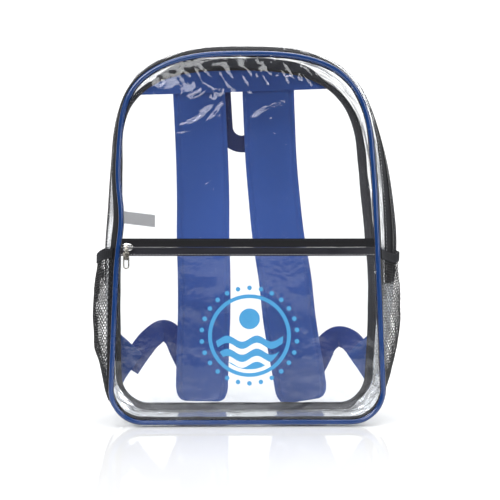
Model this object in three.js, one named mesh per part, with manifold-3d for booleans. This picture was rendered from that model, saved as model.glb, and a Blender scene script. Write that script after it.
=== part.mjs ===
// A clear backpack of plastic sheet: front and back panels, a soft gusset with a zip
// round it, a zipped front pocket, two mesh side pockets, cloth shoulder straps and
// their webbing. Millimetres: x to the right seen from the front, y to the back, z up
// from the floor that the bag stands on.
import * as THREE from "three";
import { mergeVertices } from "three/addons/utils/BufferGeometryUtils.js";
import Module from "manifold-3d";

const wasm = await Module();
wasm.setup();

// Driving sizes of the bag
const bagHeight = 400; // to the top of the rims
const bagDepth = 130; // from the front rim to the back rim
const frontWidth = 290; // across the front rim near the floor
const backWidth = 294;
const frontShoulderWidth = 271; // where the rims' arches begin
const backShoulderWidth = 286;
const shoulderHeight = 291;
const cornerRadius = 36; // the rims' lower corners
const archPower = 2.8; // how square the arch of the rims is

// Materials' thicknesses and the gap that sewn pieces keep
const sheetThick = 1;
const tapeThick = 1.2;
const clothThick = 1.2;
const webbingThick = 1.5;
const strapThick = 4;
const seamGap = 0.4;

const pipingRadius = 3.1;
const pipingOverFloor = 0.6;
const bindingWidth = 8;
const backBindingWidth = 10;

const frontCrown = 7; // how far the front panel bows out
const backCrown = 4;

const mainZipWidth = 28;
const mainZipEndDepth = 41; // how far down each side pocket the main zip ends
const coilWidth = 3.2;
const coilThick = 1.3;

const pocketZipTop = 201.5;
const pocketZipHeight = 18.6;
const pocketDepth = 12; // the room in the front pocket

const meshBottom = 28;
const mouthHeight = 191; // the top of the elastic at the seams
const mouthSag = 9; // how much lower it hangs midway
const meshThick = 1;
const elasticHeight = 10.5;
const elasticThick = 2;

const yokeHeight = 27;
const yokeRise = 4; // its lower edge rises to the right, by this at each end
const strapWidth = 61;
const strapEndWidth = 40;
const webbingWidth = 25;
const webbingStand = 3; // how far it first stands off the adjuster
const haulWebbingWidth = 20;
const haulLoopDrop = 86;

const adjusterWidth = 33;
const adjusterLength = 20;
const adjusterThick = 3.2;
const adjusterSlot = 2.4;
const adjusterOverFoot = 4;

const labelWidth = 34;
const labelHeight = 13;
const labelThick = 0.6;
const labelOverZip = 22.5; // from the pocket zip's top to the label's middle

const rimBottom = pipingRadius + pipingOverFloor;
const mainZipEnd = mouthHeight - mainZipEndDepth;
const frontY = -bagDepth / 2;
const backY = bagDepth / 2;
const halfWidth = frontWidth / 2;

// The rims: one shape of outline, each with its own widths and its own place
const frontRim = { y: frontY, width: frontWidth, shoulderWidth: frontShoulderWidth };
const backRim = { y: backY, width: backWidth, shoulderWidth: backShoulderWidth };

// Where along half a rim, from the bottom middle to the top middle, each stretch ends
const flatEnd = 0.1;
const cornerEnd = 0.28;
const sideEnd = 0.62;

// How far the gusset stands out past the rims, as shares of the bag's depth
const gussetFullness = [
  { height: 0, left: 0.05, right: 0.05 },
  { height: 0.12, left: 0.07, right: 0.095 },
  { height: 0.3, left: 0.1, right: 0.135 },
  { height: 0.48, left: 0.115, right: 0.19 },
  { height: 0.6, left: 0.095, right: 0.17 },
  { height: 0.72, left: 0.065, right: 0.13 },
  { height: 0.85, left: 0.05, right: 0.06 },
  { height: 0.94, left: 0.08, right: 0.085 },
  { height: 1, left: 0.105, right: 0.105 },
];

// How far the mesh stands off the gusset, as shares of the bag's depth
const meshFullness = [
  { height: 0, left: 0, right: 0 },
  { height: 0.15, left: 0.05, right: 0.05 },
  { height: 0.35, left: 0.095, right: 0.08 },
  { height: 0.7, left: 0.1, right: 0.07 },
  { height: 1, left: 0.065, right: 0.015 },
];

// Where the soft bag has slumped: the middle of each slump and its spread as shares of
// the half width, half depth and height, and how far it moves to the right
const slumps = [
  {
    across: -1, depth: -1, height: 0.53,
    spreadAcross: 0.4, spreadDepth: 0.5, spreadHeight: 0.085, move: 0.026,
  },
  {
    across: 1, depth: -1, height: 0.4,
    spreadAcross: 0.4, spreadDepth: 0.5, spreadHeight: 0.12, move: 0.01,
  },
  {
    across: 1, depth: 1, height: 0.35,
    spreadAcross: 0.35, spreadDepth: 0.5, spreadHeight: 0.17, move: 0.055,
  },
  {
    across: 0, depth: 1, height: 1,
    spreadAcross: 3, spreadDepth: 0.5, spreadHeight: 0.2, move: -0.055,
  },
];

// The shoulder straps' middles: height as a share of the bag's, places across as shares
// of the half width, and how far they stand off the back as a share of the depth
const strapRows = [
  { height: 0.97, left: -0.32, right: 0.235, standOff: 0.035 },
  { height: 0.875, left: -0.32, right: 0.232, standOff: 0.075 },
  { height: 0.73, left: -0.324, right: 0.228, standOff: 0.115 },
  { height: 0.61, left: -0.327, right: 0.243, standOff: 0.135 },
  { height: 0.5, left: -0.331, right: 0.268, standOff: 0.145 },
  { height: 0.38, left: -0.324, right: 0.315, standOff: 0.15 },
  { height: 0.26, left: -0.326, right: 0.35, standOff: 0.15 },
  { height: 0.18, left: -0.335, right: 0.385, standOff: 0.14 },
  { height: 0.1, left: -0.342, right: 0.425, standOff: 0.135 },
  { height: 0.0125, left: -0.348, right: 0.465, standOff: 0.135 },
];

// The adjusting webbings' middles, from the adjuster to the corner tab, in the same shares
const webbingRows = {
  left: [
    { across: -0.355, height: 0.13, standOff: 0.22 },
    { across: -0.43, height: 0.185, standOff: 0.235 },
    { across: -0.52, height: 0.218, standOff: 0.235 },
    { across: -0.635, height: 0.226, standOff: 0.2 },
    { across: -0.75, height: 0.205, standOff: 0.13 },
    { across: -0.85, height: 0.17, standOff: 0.06 },
    { across: -0.915, height: 0.145, standOff: 0.03 },
  ],
  right: [
    { across: 0.46, height: 0.13, standOff: 0.22 },
    { across: 0.53, height: 0.17, standOff: 0.235 },
    { across: 0.62, height: 0.2, standOff: 0.235 },
    { across: 0.72, height: 0.212, standOff: 0.2 },
    { across: 0.8, height: 0.2, standOff: 0.13 },
    { across: 0.87, height: 0.172, standOff: 0.06 },
    { across: 0.92, height: 0.15, standOff: 0.03 },
  ],
};

// The corner tabs: a triangle on the side seam, in the same shares
const tab = { low: 0.055, high: 0.228, tipHeight: 0.158, tipIn: 0.2, endIn: 0.014 };

const lerp = THREE.MathUtils.lerp;
const smooth = (x, low, high) => THREE.MathUtils.smoothstep(x, low, high);

// A column of a table at a height, on a smooth curve through its rows
function tableValue(rows, height, column) {
  const ordered = [...rows].sort((a, b) => a.height - b.height);
  let i = 0;
  while (i < ordered.length - 2 && ordered[i + 1].height < height) i++;
  const [a, b] = [ordered[i], ordered[i + 1]];
  const t = THREE.MathUtils.clamp((height - a.height) / (b.height - a.height), 0, 1);
  const before = (ordered[i - 1] ?? a)[column];
  const after = (ordered[i + 2] ?? b)[column];
  const [p, q] = [a[column], b[column]];
  const m0 = (q - before) / 2;
  const m1 = (after - p) / 2;
  const [t2, t3] = [t * t, t * t * t];
  return (2 * t3 - 3 * t2 + 1) * p + (t3 - 2 * t2 + t) * m0
    + (3 * t2 - 2 * t3) * q + (t3 - t2) * m1;
}

// A place on the right half of a rim, drawn in by an inset: x across and y up
function rimPoint(rim, share, inset = 0) {
  const half = rim.width / 2 - inset;
  const radius = cornerRadius - inset;
  const bottom = rimBottom + inset;
  const shoulder = rim.shoulderWidth / 2 - inset;
  if (share <= flatEnd) {
    return new THREE.Vector2(((half - radius) * share) / flatEnd, bottom);
  }
  if (share <= cornerEnd) {
    const turn = (((share - flatEnd) / (cornerEnd - flatEnd)) * Math.PI) / 2;
    return new THREE.Vector2(
      half - radius + radius * Math.sin(turn),
      bottom + radius - radius * Math.cos(turn),
    );
  }
  if (share <= sideEnd) {
    const t = (share - cornerEnd) / (sideEnd - cornerEnd);
    return new THREE.Vector2(
      lerp(half, shoulder, t),
      lerp(bottom + radius, shoulderHeight, t),
    );
  }
  const turn = (((share - sideEnd) / (1 - sideEnd)) * Math.PI) / 2;
  const rise = bagHeight - inset - shoulderHeight;
  return new THREE.Vector2(
    shoulder * Math.max(0, Math.cos(turn)) ** (2 / archPower),
    shoulderHeight + rise * Math.sin(turn) ** (2 / archPower),
  );
}

// The way out of the rim's outline at a place on its right half
function rimNormal(rim, share) {
  const step = 1e-4;
  const a = rimPoint(rim, Math.max(0, share - step));
  const b = rimPoint(rim, Math.min(1, share + step));
  return new THREE.Vector2(b.y - a.y, a.x - b.x).normalize();
}

// The share along half a rim at which it reaches a height
function shareAt(height, inset = 0) {
  let [low, high] = [flatEnd, 1];
  for (let i = 0; i < 40; i++) {
    const middle = (low + high) / 2;
    if (rimPoint(frontRim, middle, inset).y < height) low = middle;
    else high = middle;
  }
  return (low + high) / 2;
}

const halfWidthAt = (rim, height) => rimPoint(rim, shareAt(height)).x;

// Evenly spaced numbers from a to b
const spread = (a, b, steps) =>
  Array.from({ length: steps + 1 }, (_, i) => lerp(a, b, i / steps));

// Shares along half a rim from one to another, closer where the rim turns
function rimShares(from = 0, to = 1) {
  const all = [
    ...spread(0, flatEnd, 2),
    ...spread(flatEnd, cornerEnd, 6).slice(1),
    ...spread(cornerEnd, sideEnd, 7).slice(1),
    ...spread(sideEnd, 1, 11).slice(1),
  ];
  const near = 0.006;
  return [from, ...all.filter((s) => s > from + near && s < to - near), to];
}

// All the way round the rims: up the right side and down the left
const fullRound = () => [
  ...rimShares().map((share) => ({ share, side: 1 })),
  ...rimShares().slice(1, -1).reverse().map((share) => ({ share, side: -1 })),
];

// Over the top of the bag from one share on the right to the same on the left
const overTop = (from) => [
  ...rimShares(from, 1).map((share) => ({ share, side: 1 })),
  ...rimShares(from, 1).slice(0, -1).reverse().map((share) => ({ share, side: -1 })),
];

// Under the bag from one share on the left to the same on the right
const underBottom = (to) => [
  ...rimShares(0, to).slice(1).reverse().map((share) => ({ share, side: -1 })),
  ...rimShares(0, to).map((share) => ({ share, side: 1 })),
];

// A place on the gusset: across is 0 at the front rim and 1 at the back rim, and lift
// stands off its middle
function gussetPoint({ share, side }, across, lift = 0) {
  const front = rimPoint(frontRim, share);
  const back = rimPoint(backRim, share);
  const out = rimNormal(frontRim, share);
  const low = smooth(front.y, rimBottom, rimBottom + cornerRadius);
  const full = bagDepth
    * tableValue(gussetFullness, front.y / bagHeight, side > 0 ? "right" : "left");
  const sag = rimBottom - sheetThick / 2;
  const edge = 0.15;
  const under = sag * Math.min(1, across / edge, (1 - across) / edge);
  const beside = full * 4 * across * (1 - across);
  const reach = lerp(under, beside, low) + lift;
  return new THREE.Vector3(
    side * (lerp(front.x, back.x, across) + out.x * reach),
    lerp(frontY, backY, across),
    lerp(front.y, back.y, across) + out.y * reach,
  );
}

// How a flat panel bows: 0 at its rim and 1 over most of its middle
function bow(rim, x, z) {
  const middle = (rimBottom + bagHeight) / 2;
  const edge = Math.min(1, Math.abs(x) / Math.max(1, halfWidthAt(rim, z)));
  const end = Math.min(1, Math.abs(z - middle) / (middle - rimBottom));
  return (1 - edge ** 4) * (1 - end ** 6);
}

const frontSurface = (x, z) => frontY - frontCrown * bow(frontRim, x, z);
const backSurface = (x, z) => backY + backCrown * bow(backRim, x, z);

// Moves a point of the soft bag to where the slumps leave it
function settle(p) {
  let move = 0;
  for (const s of slumps) {
    const x = (p.x / halfWidth - s.across) / s.spreadAcross;
    const y = (p.y / backY - s.depth) / s.spreadDepth;
    const z = (p.z / bagHeight - s.height) / s.spreadHeight;
    move += s.move * halfWidth * Math.exp(-(x * x + y * y + z * z) / 2);
  }
  return p.clone().setX(p.x + move);
}

// Solids

// A closed body through sections of as many points each. An open row of sections is
// capped at both ends, and a ring joins its last section to its first.
function loft(sections, ring = false) {
  const count = sections[0].length;
  const last = sections.length - 1;
  const faces = [];
  const quad = (a, b, c, d) => faces.push(a, b, c, a, c, d);
  for (let i = 0; i < (ring ? last + 1 : last); i++) {
    const next = (i + 1) % sections.length;
    for (let j = 0; j < count; j++) {
      const k = (j + 1) % count;
      quad(i * count + j, i * count + k, next * count + k, next * count + j);
    }
  }
  if (!ring) {
    const end = last * count;
    for (let j = 0; j < count / 2 - 1; j++) {
      quad(j + 1, j, count - 1 - j, count - 2 - j);
      quad(end + j, end + j + 1, end + count - 2 - j, end + count - 1 - j);
    }
  }
  const points = sections.flat().map(settle);
  let volume = 0;
  for (let i = 0; i < faces.length; i += 3) {
    const [a, b, c] = [0, 1, 2].map((j) => points[faces[i + j]]);
    volume += a.dot(b.clone().cross(c));
  }
  if (volume < 0) faces.reverse();
  const geometry = new THREE.BufferGeometry().setFromPoints(points).setIndex(faces);
  geometry.computeVertexNormals();
  return geometry;
}

// The upright of a grid of points at one of them
function gridNormal(grid, i, j, ring) {
  const rows = grid.length;
  const columns = grid[0].length;
  const up = ring ? grid[(i + 1) % rows] : grid[Math.min(rows - 1, i + 1)];
  const down = ring ? grid[(i + rows - 1) % rows] : grid[Math.max(0, i - 1)];
  const along = up[j].clone().sub(down[j]);
  const right = grid[i][Math.min(columns - 1, j + 1)];
  const across = right.clone().sub(grid[i][Math.max(0, j - 1)]);
  return along.cross(across).normalize();
}

// A sheet of even thickness about a grid of points
function sheet(grid, thickness, ring = false) {
  const sections = grid.map((row, i) => {
    const out = row.map((p, j) =>
      gridNormal(grid, i, j, ring).multiplyScalar(thickness / 2));
    return [
      ...row.map((p, j) => p.clone().add(out[j])),
      ...row.map((p, j) => p.clone().sub(out[j])).reverse(),
    ];
  });
  return loft(sections, ring);
}

// A trim of one flat section all round a rim: the section's points hold how far out of
// the rim and how far back from it they lie
function rimTrim(rim, section) {
  return loft(fullRound().map(({ share, side }) => {
    const p = rimPoint(rim, share);
    const out = rimNormal(rim, share);
    return section.map(([u, back]) => new THREE.Vector3(
      side * (p.x + out.x * u), rim.y + back, p.y + out.y * u,
    ));
  }), true);
}

// A ribbon whose face looks backwards: middles down its length, its width at each, and
// its thickness
function ribbon(middles, widths, thickness, roundness = 0) {
  return loft(middles.map((p, i) => {
    const ahead = middles[Math.min(middles.length - 1, i + 1)];
    const behind = middles[Math.max(0, i - 1)];
    const along = ahead.clone().sub(behind).normalize();
    const across = new THREE.Vector3(0, 1, 0).cross(along);
    if (across.length() < 1e-6) across.set(1, 0, 0);
    across.normalize();
    const out = along.clone().cross(across).normalize();
    const half = widths[i] / 2;
    const corners = roundness
      ? [[-half, 0.25], [-half + roundness, 0.5], [half - roundness, 0.5], [half, 0.25],
        [half, -0.25], [half - roundness, -0.5], [-half + roundness, -0.5], [-half, -0.25]]
      : [[-half, 0.5], [half, 0.5], [half, -0.5], [-half, -0.5]];
    return corners.map(([u, v]) =>
      p.clone().addScaledVector(across, u).addScaledVector(out, v * thickness));
  }));
}

// The middles of a row of points, on a smooth curve through them
const smoothPath = (points, steps) =>
  new THREE.CatmullRomCurve3(points, false, "centripetal").getPoints(steps);

// A geometry as a solid that can be joined and cut, and back
function solid(geometry) {
  const bare = geometry.index ? geometry.toNonIndexed() : geometry.clone();
  bare.deleteAttribute("normal");
  bare.deleteAttribute("uv");
  const merged = mergeVertices(bare, 1e-4);
  return new wasm.Manifold(new wasm.Mesh({
    numProp: 3,
    vertProperties: merged.attributes.position.array,
    triVerts: new Uint32Array(merged.index.array),
  }));
}

function geometryOf(made) {
  const mesh = made.getMesh();
  const geometry = new THREE.BufferGeometry();
  geometry.setAttribute("position", new THREE.BufferAttribute(mesh.vertProperties, 3));
  geometry.setIndex(new THREE.BufferAttribute(mesh.triVerts, 1));
  geometry.computeVertexNormals();
  return geometry;
}

// Materials
const material = (color, roughness, metalness = 0, opacity = 1) =>
  new THREE.MeshStandardMaterial({
    color, roughness, metalness, opacity, transparent: opacity < 1,
  });
const clearSheet = material(0xf4f7fa, 0.08, 0, 0.2);
const bluePiping = material(0x1f4fae, 0.25);
const blackTape = material(0x17171a, 0.75);
const blackCoil = material(0x0d0d0f, 0.4);
const blueCloth = material(0x2b479c, 0.85);
const navyWebbing = material(0x232b52, 0.85);
const blackMesh = material(0x121214, 0.8);
const blackPlastic = material(0x141416, 0.45);
const steel = material(0xc9c9c4, 0.28, 1);
const whiteSatin = material(0xf0efec, 0.6);

const backpack = new THREE.Group();

function add(name, geometry, finish, parent = backpack) {
  const mesh = new THREE.Mesh(geometry, finish);
  mesh.name = name;
  parent.add(mesh);
  return mesh;
}

// Shares across the gusset at distances from the front and back rims
const acrossFromFront = (distance) => distance / bagDepth;
const acrossFromBack = (distance) => 1 - distance / bagDepth;
const frontSeam = acrossFromFront(pipingRadius + seamGap);
const bindingSeam = frontSeam + acrossFromFront(bindingWidth);
const backSeam = acrossFromBack(sheetThick / 2 + seamGap);
const zipHalf = mainZipWidth / 2 / bagDepth;
const zipGap = seamGap / bagDepth;

// Rims: the round piping, and the flat tapes that bind the seams inside the bag
function rims() {
  const sides = 8;
  const circle = Array.from({ length: sides }, (_, i) => {
    const turn = ((i + 0.5) / sides) * 2 * Math.PI;
    return [pipingRadius * Math.cos(turn), pipingRadius * Math.sin(turn)];
  });
  add("front_piping", rimTrim(frontRim, circle), bluePiping);

  const slant = 1.4; // the gusset leaves the rim at a slant, so the layers need more
  const layer = slant * ((sheetThick + tapeThick) / 2 + seamGap);
  add("front_binding", sheet(fullRound().map((place) =>
    [frontSeam, bindingSeam].map((across) =>
      gussetPoint(place, across, -layer))), tapeThick, true), blackTape);

  const outer = -sheetThick / 2 - seamGap;
  const rear = -sheetThick / 2 - seamGap;
  add("back_binding", rimTrim(backRim, [
    [outer, rear], [outer, rear - tapeThick],
    [outer - backBindingWidth, rear - tapeThick], [outer - backBindingWidth, rear],
  ]), blackTape);
}

// Gusset: a clear strip each side of the main zip, and one piece under the bag
function gusset() {
  const zipEnd = shareAt(mainZipEnd);
  const strip = (columns, lift = 0) => overTop(zipEnd).map((place) =>
    columns.map((across) => gussetPoint(place, across, lift)));
  const zipFrom = 0.5 - zipHalf;
  const zipTo = 0.5 + zipHalf;
  const frontColumns = [frontSeam, ...spread(bindingSeam, zipFrom - zipGap, 2)];
  add("gusset_front_strip", sheet(strip(frontColumns), sheetThick), clearSheet);
  add("gusset_rear_strip",
    sheet(strip(spread(zipTo + zipGap, backSeam, 3)), sheetThick), clearSheet);
  add("main_zip_tape", sheet(strip(spread(zipFrom, zipTo, 2)), sheetThick), blackTape);
  const coilHalf = coilWidth / 2 / bagDepth;
  const coilLift = (sheetThick + coilThick) / 2 + seamGap;
  add("main_zip_coil",
    sheet(strip([0.5 - coilHalf, 0.5 + coilHalf], coilLift), coilThick), blackCoil);

  const underEnd = shareAt(mainZipEnd - 1.5 * seamGap);
  const edge = 0.15;
  const columns = [frontSeam, bindingSeam, edge, 0.32, 0.5, 0.68, 1 - edge, backSeam];
  add("bottom_gusset", sheet(
    underBottom(underEnd).map((place) =>
      columns.map((across) => gussetPoint(place, across))),
    sheetThick,
  ), clearSheet);
}

// A panel of the front or back: rows up it, each from one side to the other
function panelGrid(rows, surface, columns) {
  return rows.map(({ half, z }) =>
    spread(-half, half, columns).map((x) => new THREE.Vector3(x, surface(x, z), z)));
}

// The rows of a panel between two heights, in from the rim by an inset
function panelRows(rim, inset, low, high) {
  const shares = rimShares(
    low === undefined ? flatEnd : shareAt(low, inset),
    high === undefined ? 1 : shareAt(high, inset),
  );
  const rows = shares.map((share) => {
    const p = rimPoint(rim, share, inset);
    return { half: p.x, z: p.y };
  });
  return high === undefined ? rows.slice(0, -1) : rows;
}

// Front: the upper panel, the zipped pocket's panel and the clear wall behind it
function front() {
  const inset = pipingRadius + seamGap;
  const columns = 10;
  const pocketTop = pocketZipTop - pocketZipHeight;
  add("front_panel", sheet(panelGrid(
    panelRows(frontRim, inset, pocketZipTop + seamGap), frontSurface, columns,
  ), sheetThick), clearSheet);
  add("pocket_panel", sheet(panelGrid(
    panelRows(frontRim, inset, undefined, pocketTop - seamGap), frontSurface, columns,
  ), sheetThick), clearSheet);

  const wallInset = inset + sheetThick;
  const wallTop = pocketZipTop - sheetThick;
  const wallGap = sheetThick + coilThick + 2 * seamGap;
  const wall = (x, z) => {
    const rise = (z - rimBottom) / (wallTop - rimBottom);
    const side = 1 - Math.min(1, Math.abs(x) / halfWidthAt(frontRim, z)) ** 2;
    const fill = Math.sin(Math.PI * THREE.MathUtils.clamp(rise, 0, 1)) * side;
    return frontSurface(x, z) + wallGap + pocketDepth * fill;
  };
  add("pocket_back_panel", sheet(panelGrid(
    panelRows(frontRim, wallInset, undefined, wallTop), wall, columns,
  ), sheetThick), clearSheet);

  // The zip lies face out with its coil behind, the upper tape over the lower lip
  const meet = pocketZipTop - pocketZipHeight / 2;
  const band = (low, high, back) => [low, high].map((z) => {
    const half = rimPoint(frontRim, shareAt(z, inset), inset).x;
    return spread(-half, half, columns).map((x) =>
      new THREE.Vector3(x, frontSurface(x, z) + back, z));
  });
  add("pocket_zip_tape", sheet(band(meet + seamGap / 2, pocketZipTop, 0), sheetThick), blackTape);
  add("pocket_zip_lip", sheet(band(pocketTop, meet - seamGap / 2, 0), sheetThick), blackTape);
  const coilBack = (sheetThick + coilThick) / 2 + seamGap;
  add("pocket_zip_coil", sheet(
    band(meet - coilWidth / 2, meet + coilWidth / 2, coilBack), coilThick,
  ), blackCoil);
}

// Zip sliders: a body over the coil with a bridge, and a pull that hangs from it. The
// zip runs along x, and -y points out of the bag
const sliderLength = 11;
const sliderHeight = 8.4;
const sliderThick = 2.4;
const bridgeThick = 1.5;
const bridgeStand = 3; // from the body to the middle of the bridge's bar
const bridgeSpan = 7;
const eyeRadius = 2.5;
const eyeHole = 1.5;
const eyeWidth = 3;
const pullLength = 23;
const pullWidth = 6.4;
const pullThick = 1.2;
const sliderAcross = -0.897; // on the pocket zip, as a share of the half width

function sliderBody() {
  const outline = new THREE.Shape();
  const [l, h] = [sliderLength / 2, sliderHeight / 2];
  const throat = 0.6 * h;
  outline.moveTo(-l, -throat);
  outline.lineTo(-0.5 * l, -h);
  outline.lineTo(0.55 * l, -0.85 * h);
  outline.quadraticCurveTo(l, -0.6 * h, l, 0);
  outline.quadraticCurveTo(l, 0.6 * h, 0.55 * l, 0.85 * h);
  outline.lineTo(-0.5 * l, h);
  outline.lineTo(-l, throat);
  const body = new THREE.ExtrudeGeometry(outline, {
    depth: sliderThick, bevelEnabled: false, curveSegments: 3,
  });
  body.rotateX(Math.PI / 2);

  const arch = new THREE.Shape();
  const top = bridgeStand + bridgeThick / 2;
  const half = bridgeSpan / 2 + bridgeThick;
  arch.moveTo(-half, -0.5);
  arch.lineTo(half, -0.5);
  arch.lineTo(half, top - 1);
  arch.lineTo(half - 1, top);
  arch.lineTo(-half + 1, top);
  arch.lineTo(-half, top - 1);
  const gap = new THREE.Path();
  const gapTop = bridgeStand - bridgeThick / 2;
  gap.moveTo(-bridgeSpan / 2, -0.001);
  gap.lineTo(-bridgeSpan / 2, gapTop);
  gap.lineTo(bridgeSpan / 2, gapTop);
  gap.lineTo(bridgeSpan / 2, -0.001);
  arch.holes.push(gap);
  const bridge = new THREE.ExtrudeGeometry(arch, { depth: bridgeThick, bevelEnabled: false });
  bridge.translate(0, 0, -bridgeThick / 2);
  bridge.rotateX(Math.PI);
  bridge.translate(0, -sliderThick, 0);
  return solid(body).add(solid(bridge));
}

// The pull hangs down from the middle of the bridge's bar, which is at its origin
function pullSolid() {
  const tabShape = new THREE.Shape();
  const neck = eyeWidth / 2;
  const w = pullWidth / 2;
  const neckEnd = -eyeRadius - 2;
  tabShape.moveTo(-neck, -eyeHole - 0.4);
  tabShape.lineTo(-neck, neckEnd);
  tabShape.lineTo(-w, neckEnd - 1.5);
  tabShape.lineTo(-w, -pullLength + w);
  tabShape.absarc(0, -pullLength + w, w, Math.PI, 2 * Math.PI, false);
  tabShape.lineTo(w, neckEnd - 1.5);
  tabShape.lineTo(neck, neckEnd);
  tabShape.lineTo(neck, -eyeHole - 0.4);
  const wire = 1.2;
  const windowTop = -pullLength + pullWidth + 3;
  const gap = new THREE.Path();
  gap.moveTo(-w + wire, windowTop);
  gap.lineTo(-w + wire, -pullLength + w);
  gap.absarc(0, -pullLength + w, w - wire, Math.PI, 2 * Math.PI, false);
  gap.lineTo(w - wire, windowTop);
  tabShape.holes.push(gap);
  const plate = new THREE.ExtrudeGeometry(tabShape, {
    depth: pullThick, bevelEnabled: false, curveSegments: 8,
  });
  plate.translate(0, 0, -pullThick / 2);
  plate.rotateX(Math.PI / 2);
  const sides = 16;
  const round = (radius, width) =>
    new THREE.CylinderGeometry(radius, radius, width, sides).rotateZ(Math.PI / 2);
  return solid(plate).add(solid(round(eyeRadius, eyeWidth)))
    .subtract(solid(round(eyeHole, eyeWidth + 1)));
}

function zipPulls() {
  const meet = pocketZipTop - pocketZipHeight / 2;
  const x = sliderAcross * halfWidth;
  const seat = settle(new THREE.Vector3(x, frontSurface(x + sliderLength / 2, meet), meet));
  const slider = new THREE.Group();
  slider.position.copy(seat);
  slider.position.y -= sheetThick / 2 + seamGap;
  backpack.add(slider);
  add("pocket_slider", geometryOf(sliderBody()), steel, slider);
  const pull = add("pocket_pull", geometryOf(pullSolid()), steel, slider);
  pull.position.set(-(bridgeSpan - eyeWidth) / 2 + seamGap, -sliderThick - bridgeStand, 0);

  // The main zip's slider is parked at its left end, inside the side pocket, with its
  // pull hanging against it as one plain piece
  const height = mainZipEnd + sliderLength;
  const place = { share: shareAt(height), side: -1 };
  const coilTop = sheetThick / 2 + seamGap + coilThick;
  const at = settle(gussetPoint(place, 0.5, coilTop + 2 * seamGap));
  const tabPlate = new THREE.BoxGeometry(pullLength, pullThick, pullWidth);
  tabPlate.translate(-pullLength / 2, -sliderThick - bridgeStand, 0);
  const closed = new THREE.BoxGeometry(bridgeSpan, bridgeStand, bridgeThick);
  closed.translate(0, -sliderThick - bridgeStand / 2, 0);
  const whole = sliderBody().add(solid(closed)).add(solid(tabPlate));
  const geometry = geometryOf(whole);
  // Its length stands along the zip and its face looks out to the left
  const [right, back, up] = [[1, 0, 0], [0, 1, 0], [0, 0, 1]].map((v) =>
    new THREE.Vector3(...v));
  geometry.applyMatrix4(new THREE.Matrix4().makeBasis(up, right, back));
  add("main_slider", geometry, blackPlastic).position.copy(at);
}

// Side pockets: mesh with an elastic binding round the mouth, which sags to a point
function meshPockets() {
  const columns = 10;
  const start = frontSeam + seamGap / bagDepth;
  const end = backSeam - seamGap / bagDepth;
  for (const [word, side] of [["left", -1], ["right", 1]]) {
    const place = (t, z, up, thick) => {
      const middle = 1 - Math.abs(2 * t - 1);
      const pointed = smooth(up, 0.6, 1);
      const round = 1 - (1 - middle) ** lerp(1.9, 1.2, pointed);
      const out = bagDepth * tableValue(meshFullness, up, word) * round;
      const lift = (sheetThick + thick) / 2 + seamGap + out;
      return gussetPoint({ share: shareAt(z), side }, lerp(start, end, t), lift);
    };
    const mouth = (t) => mouthHeight - mouthSag * (1 - Math.abs(2 * t - 1));
    const rows = spread(0, 1, 11).map((u) => u ** 1.35);
    const net = rows.map((up) => spread(0, 1, columns).map((t) =>
      place(t, lerp(meshBottom, mouth(t) - elasticHeight - seamGap, up), up, meshThick)));
    add(`mesh_pocket_${word}`, sheet(net, meshThick), blackMesh);
    const band = [-elasticHeight, 0].map((up) => spread(0, 1, columns).map((t) =>
      place(t, mouth(t) + up, 1, elasticThick)));
    add(`pocket_elastic_${word}`, sheet(band, elasticThick), blackTape);
  }
}

// Back: the clear panel, the cloth yoke across its top and all that hangs from it
function back() {
  const columns = 10;
  add("back_panel", sheet(
    panelGrid(panelRows(backRim, -sheetThick / 2), backSurface, columns), sheetThick,
  ), clearSheet);

  const layer = (sheetThick + clothThick) / 2 + seamGap;
  const yokeInset = 2 * seamGap;
  const yokeLow = bagHeight - yokeInset - yokeHeight;
  const grid = panelGrid(panelRows(backRim, yokeInset, yokeLow), backSurface, columns);
  const placed = grid.map((row) => row.map(({ x, z }) => {
    const share = (bagHeight - yokeInset - z) / yokeHeight;
    const up = z + (yokeRise * share * x) / row[columns].x;
    return new THREE.Vector3(x, backSurface(x, up) + layer, up);
  }));
  add("yoke", sheet(placed, clothThick), blueCloth);
}

// A place behind the back panel from its shares
const behind = (across, height, standOff) => {
  const [x, z] = [across * halfWidth, height * bagHeight];
  return new THREE.Vector3(x, backSurface(x, Math.max(z, rimBottom)) + standOff * bagDepth, z);
};

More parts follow.
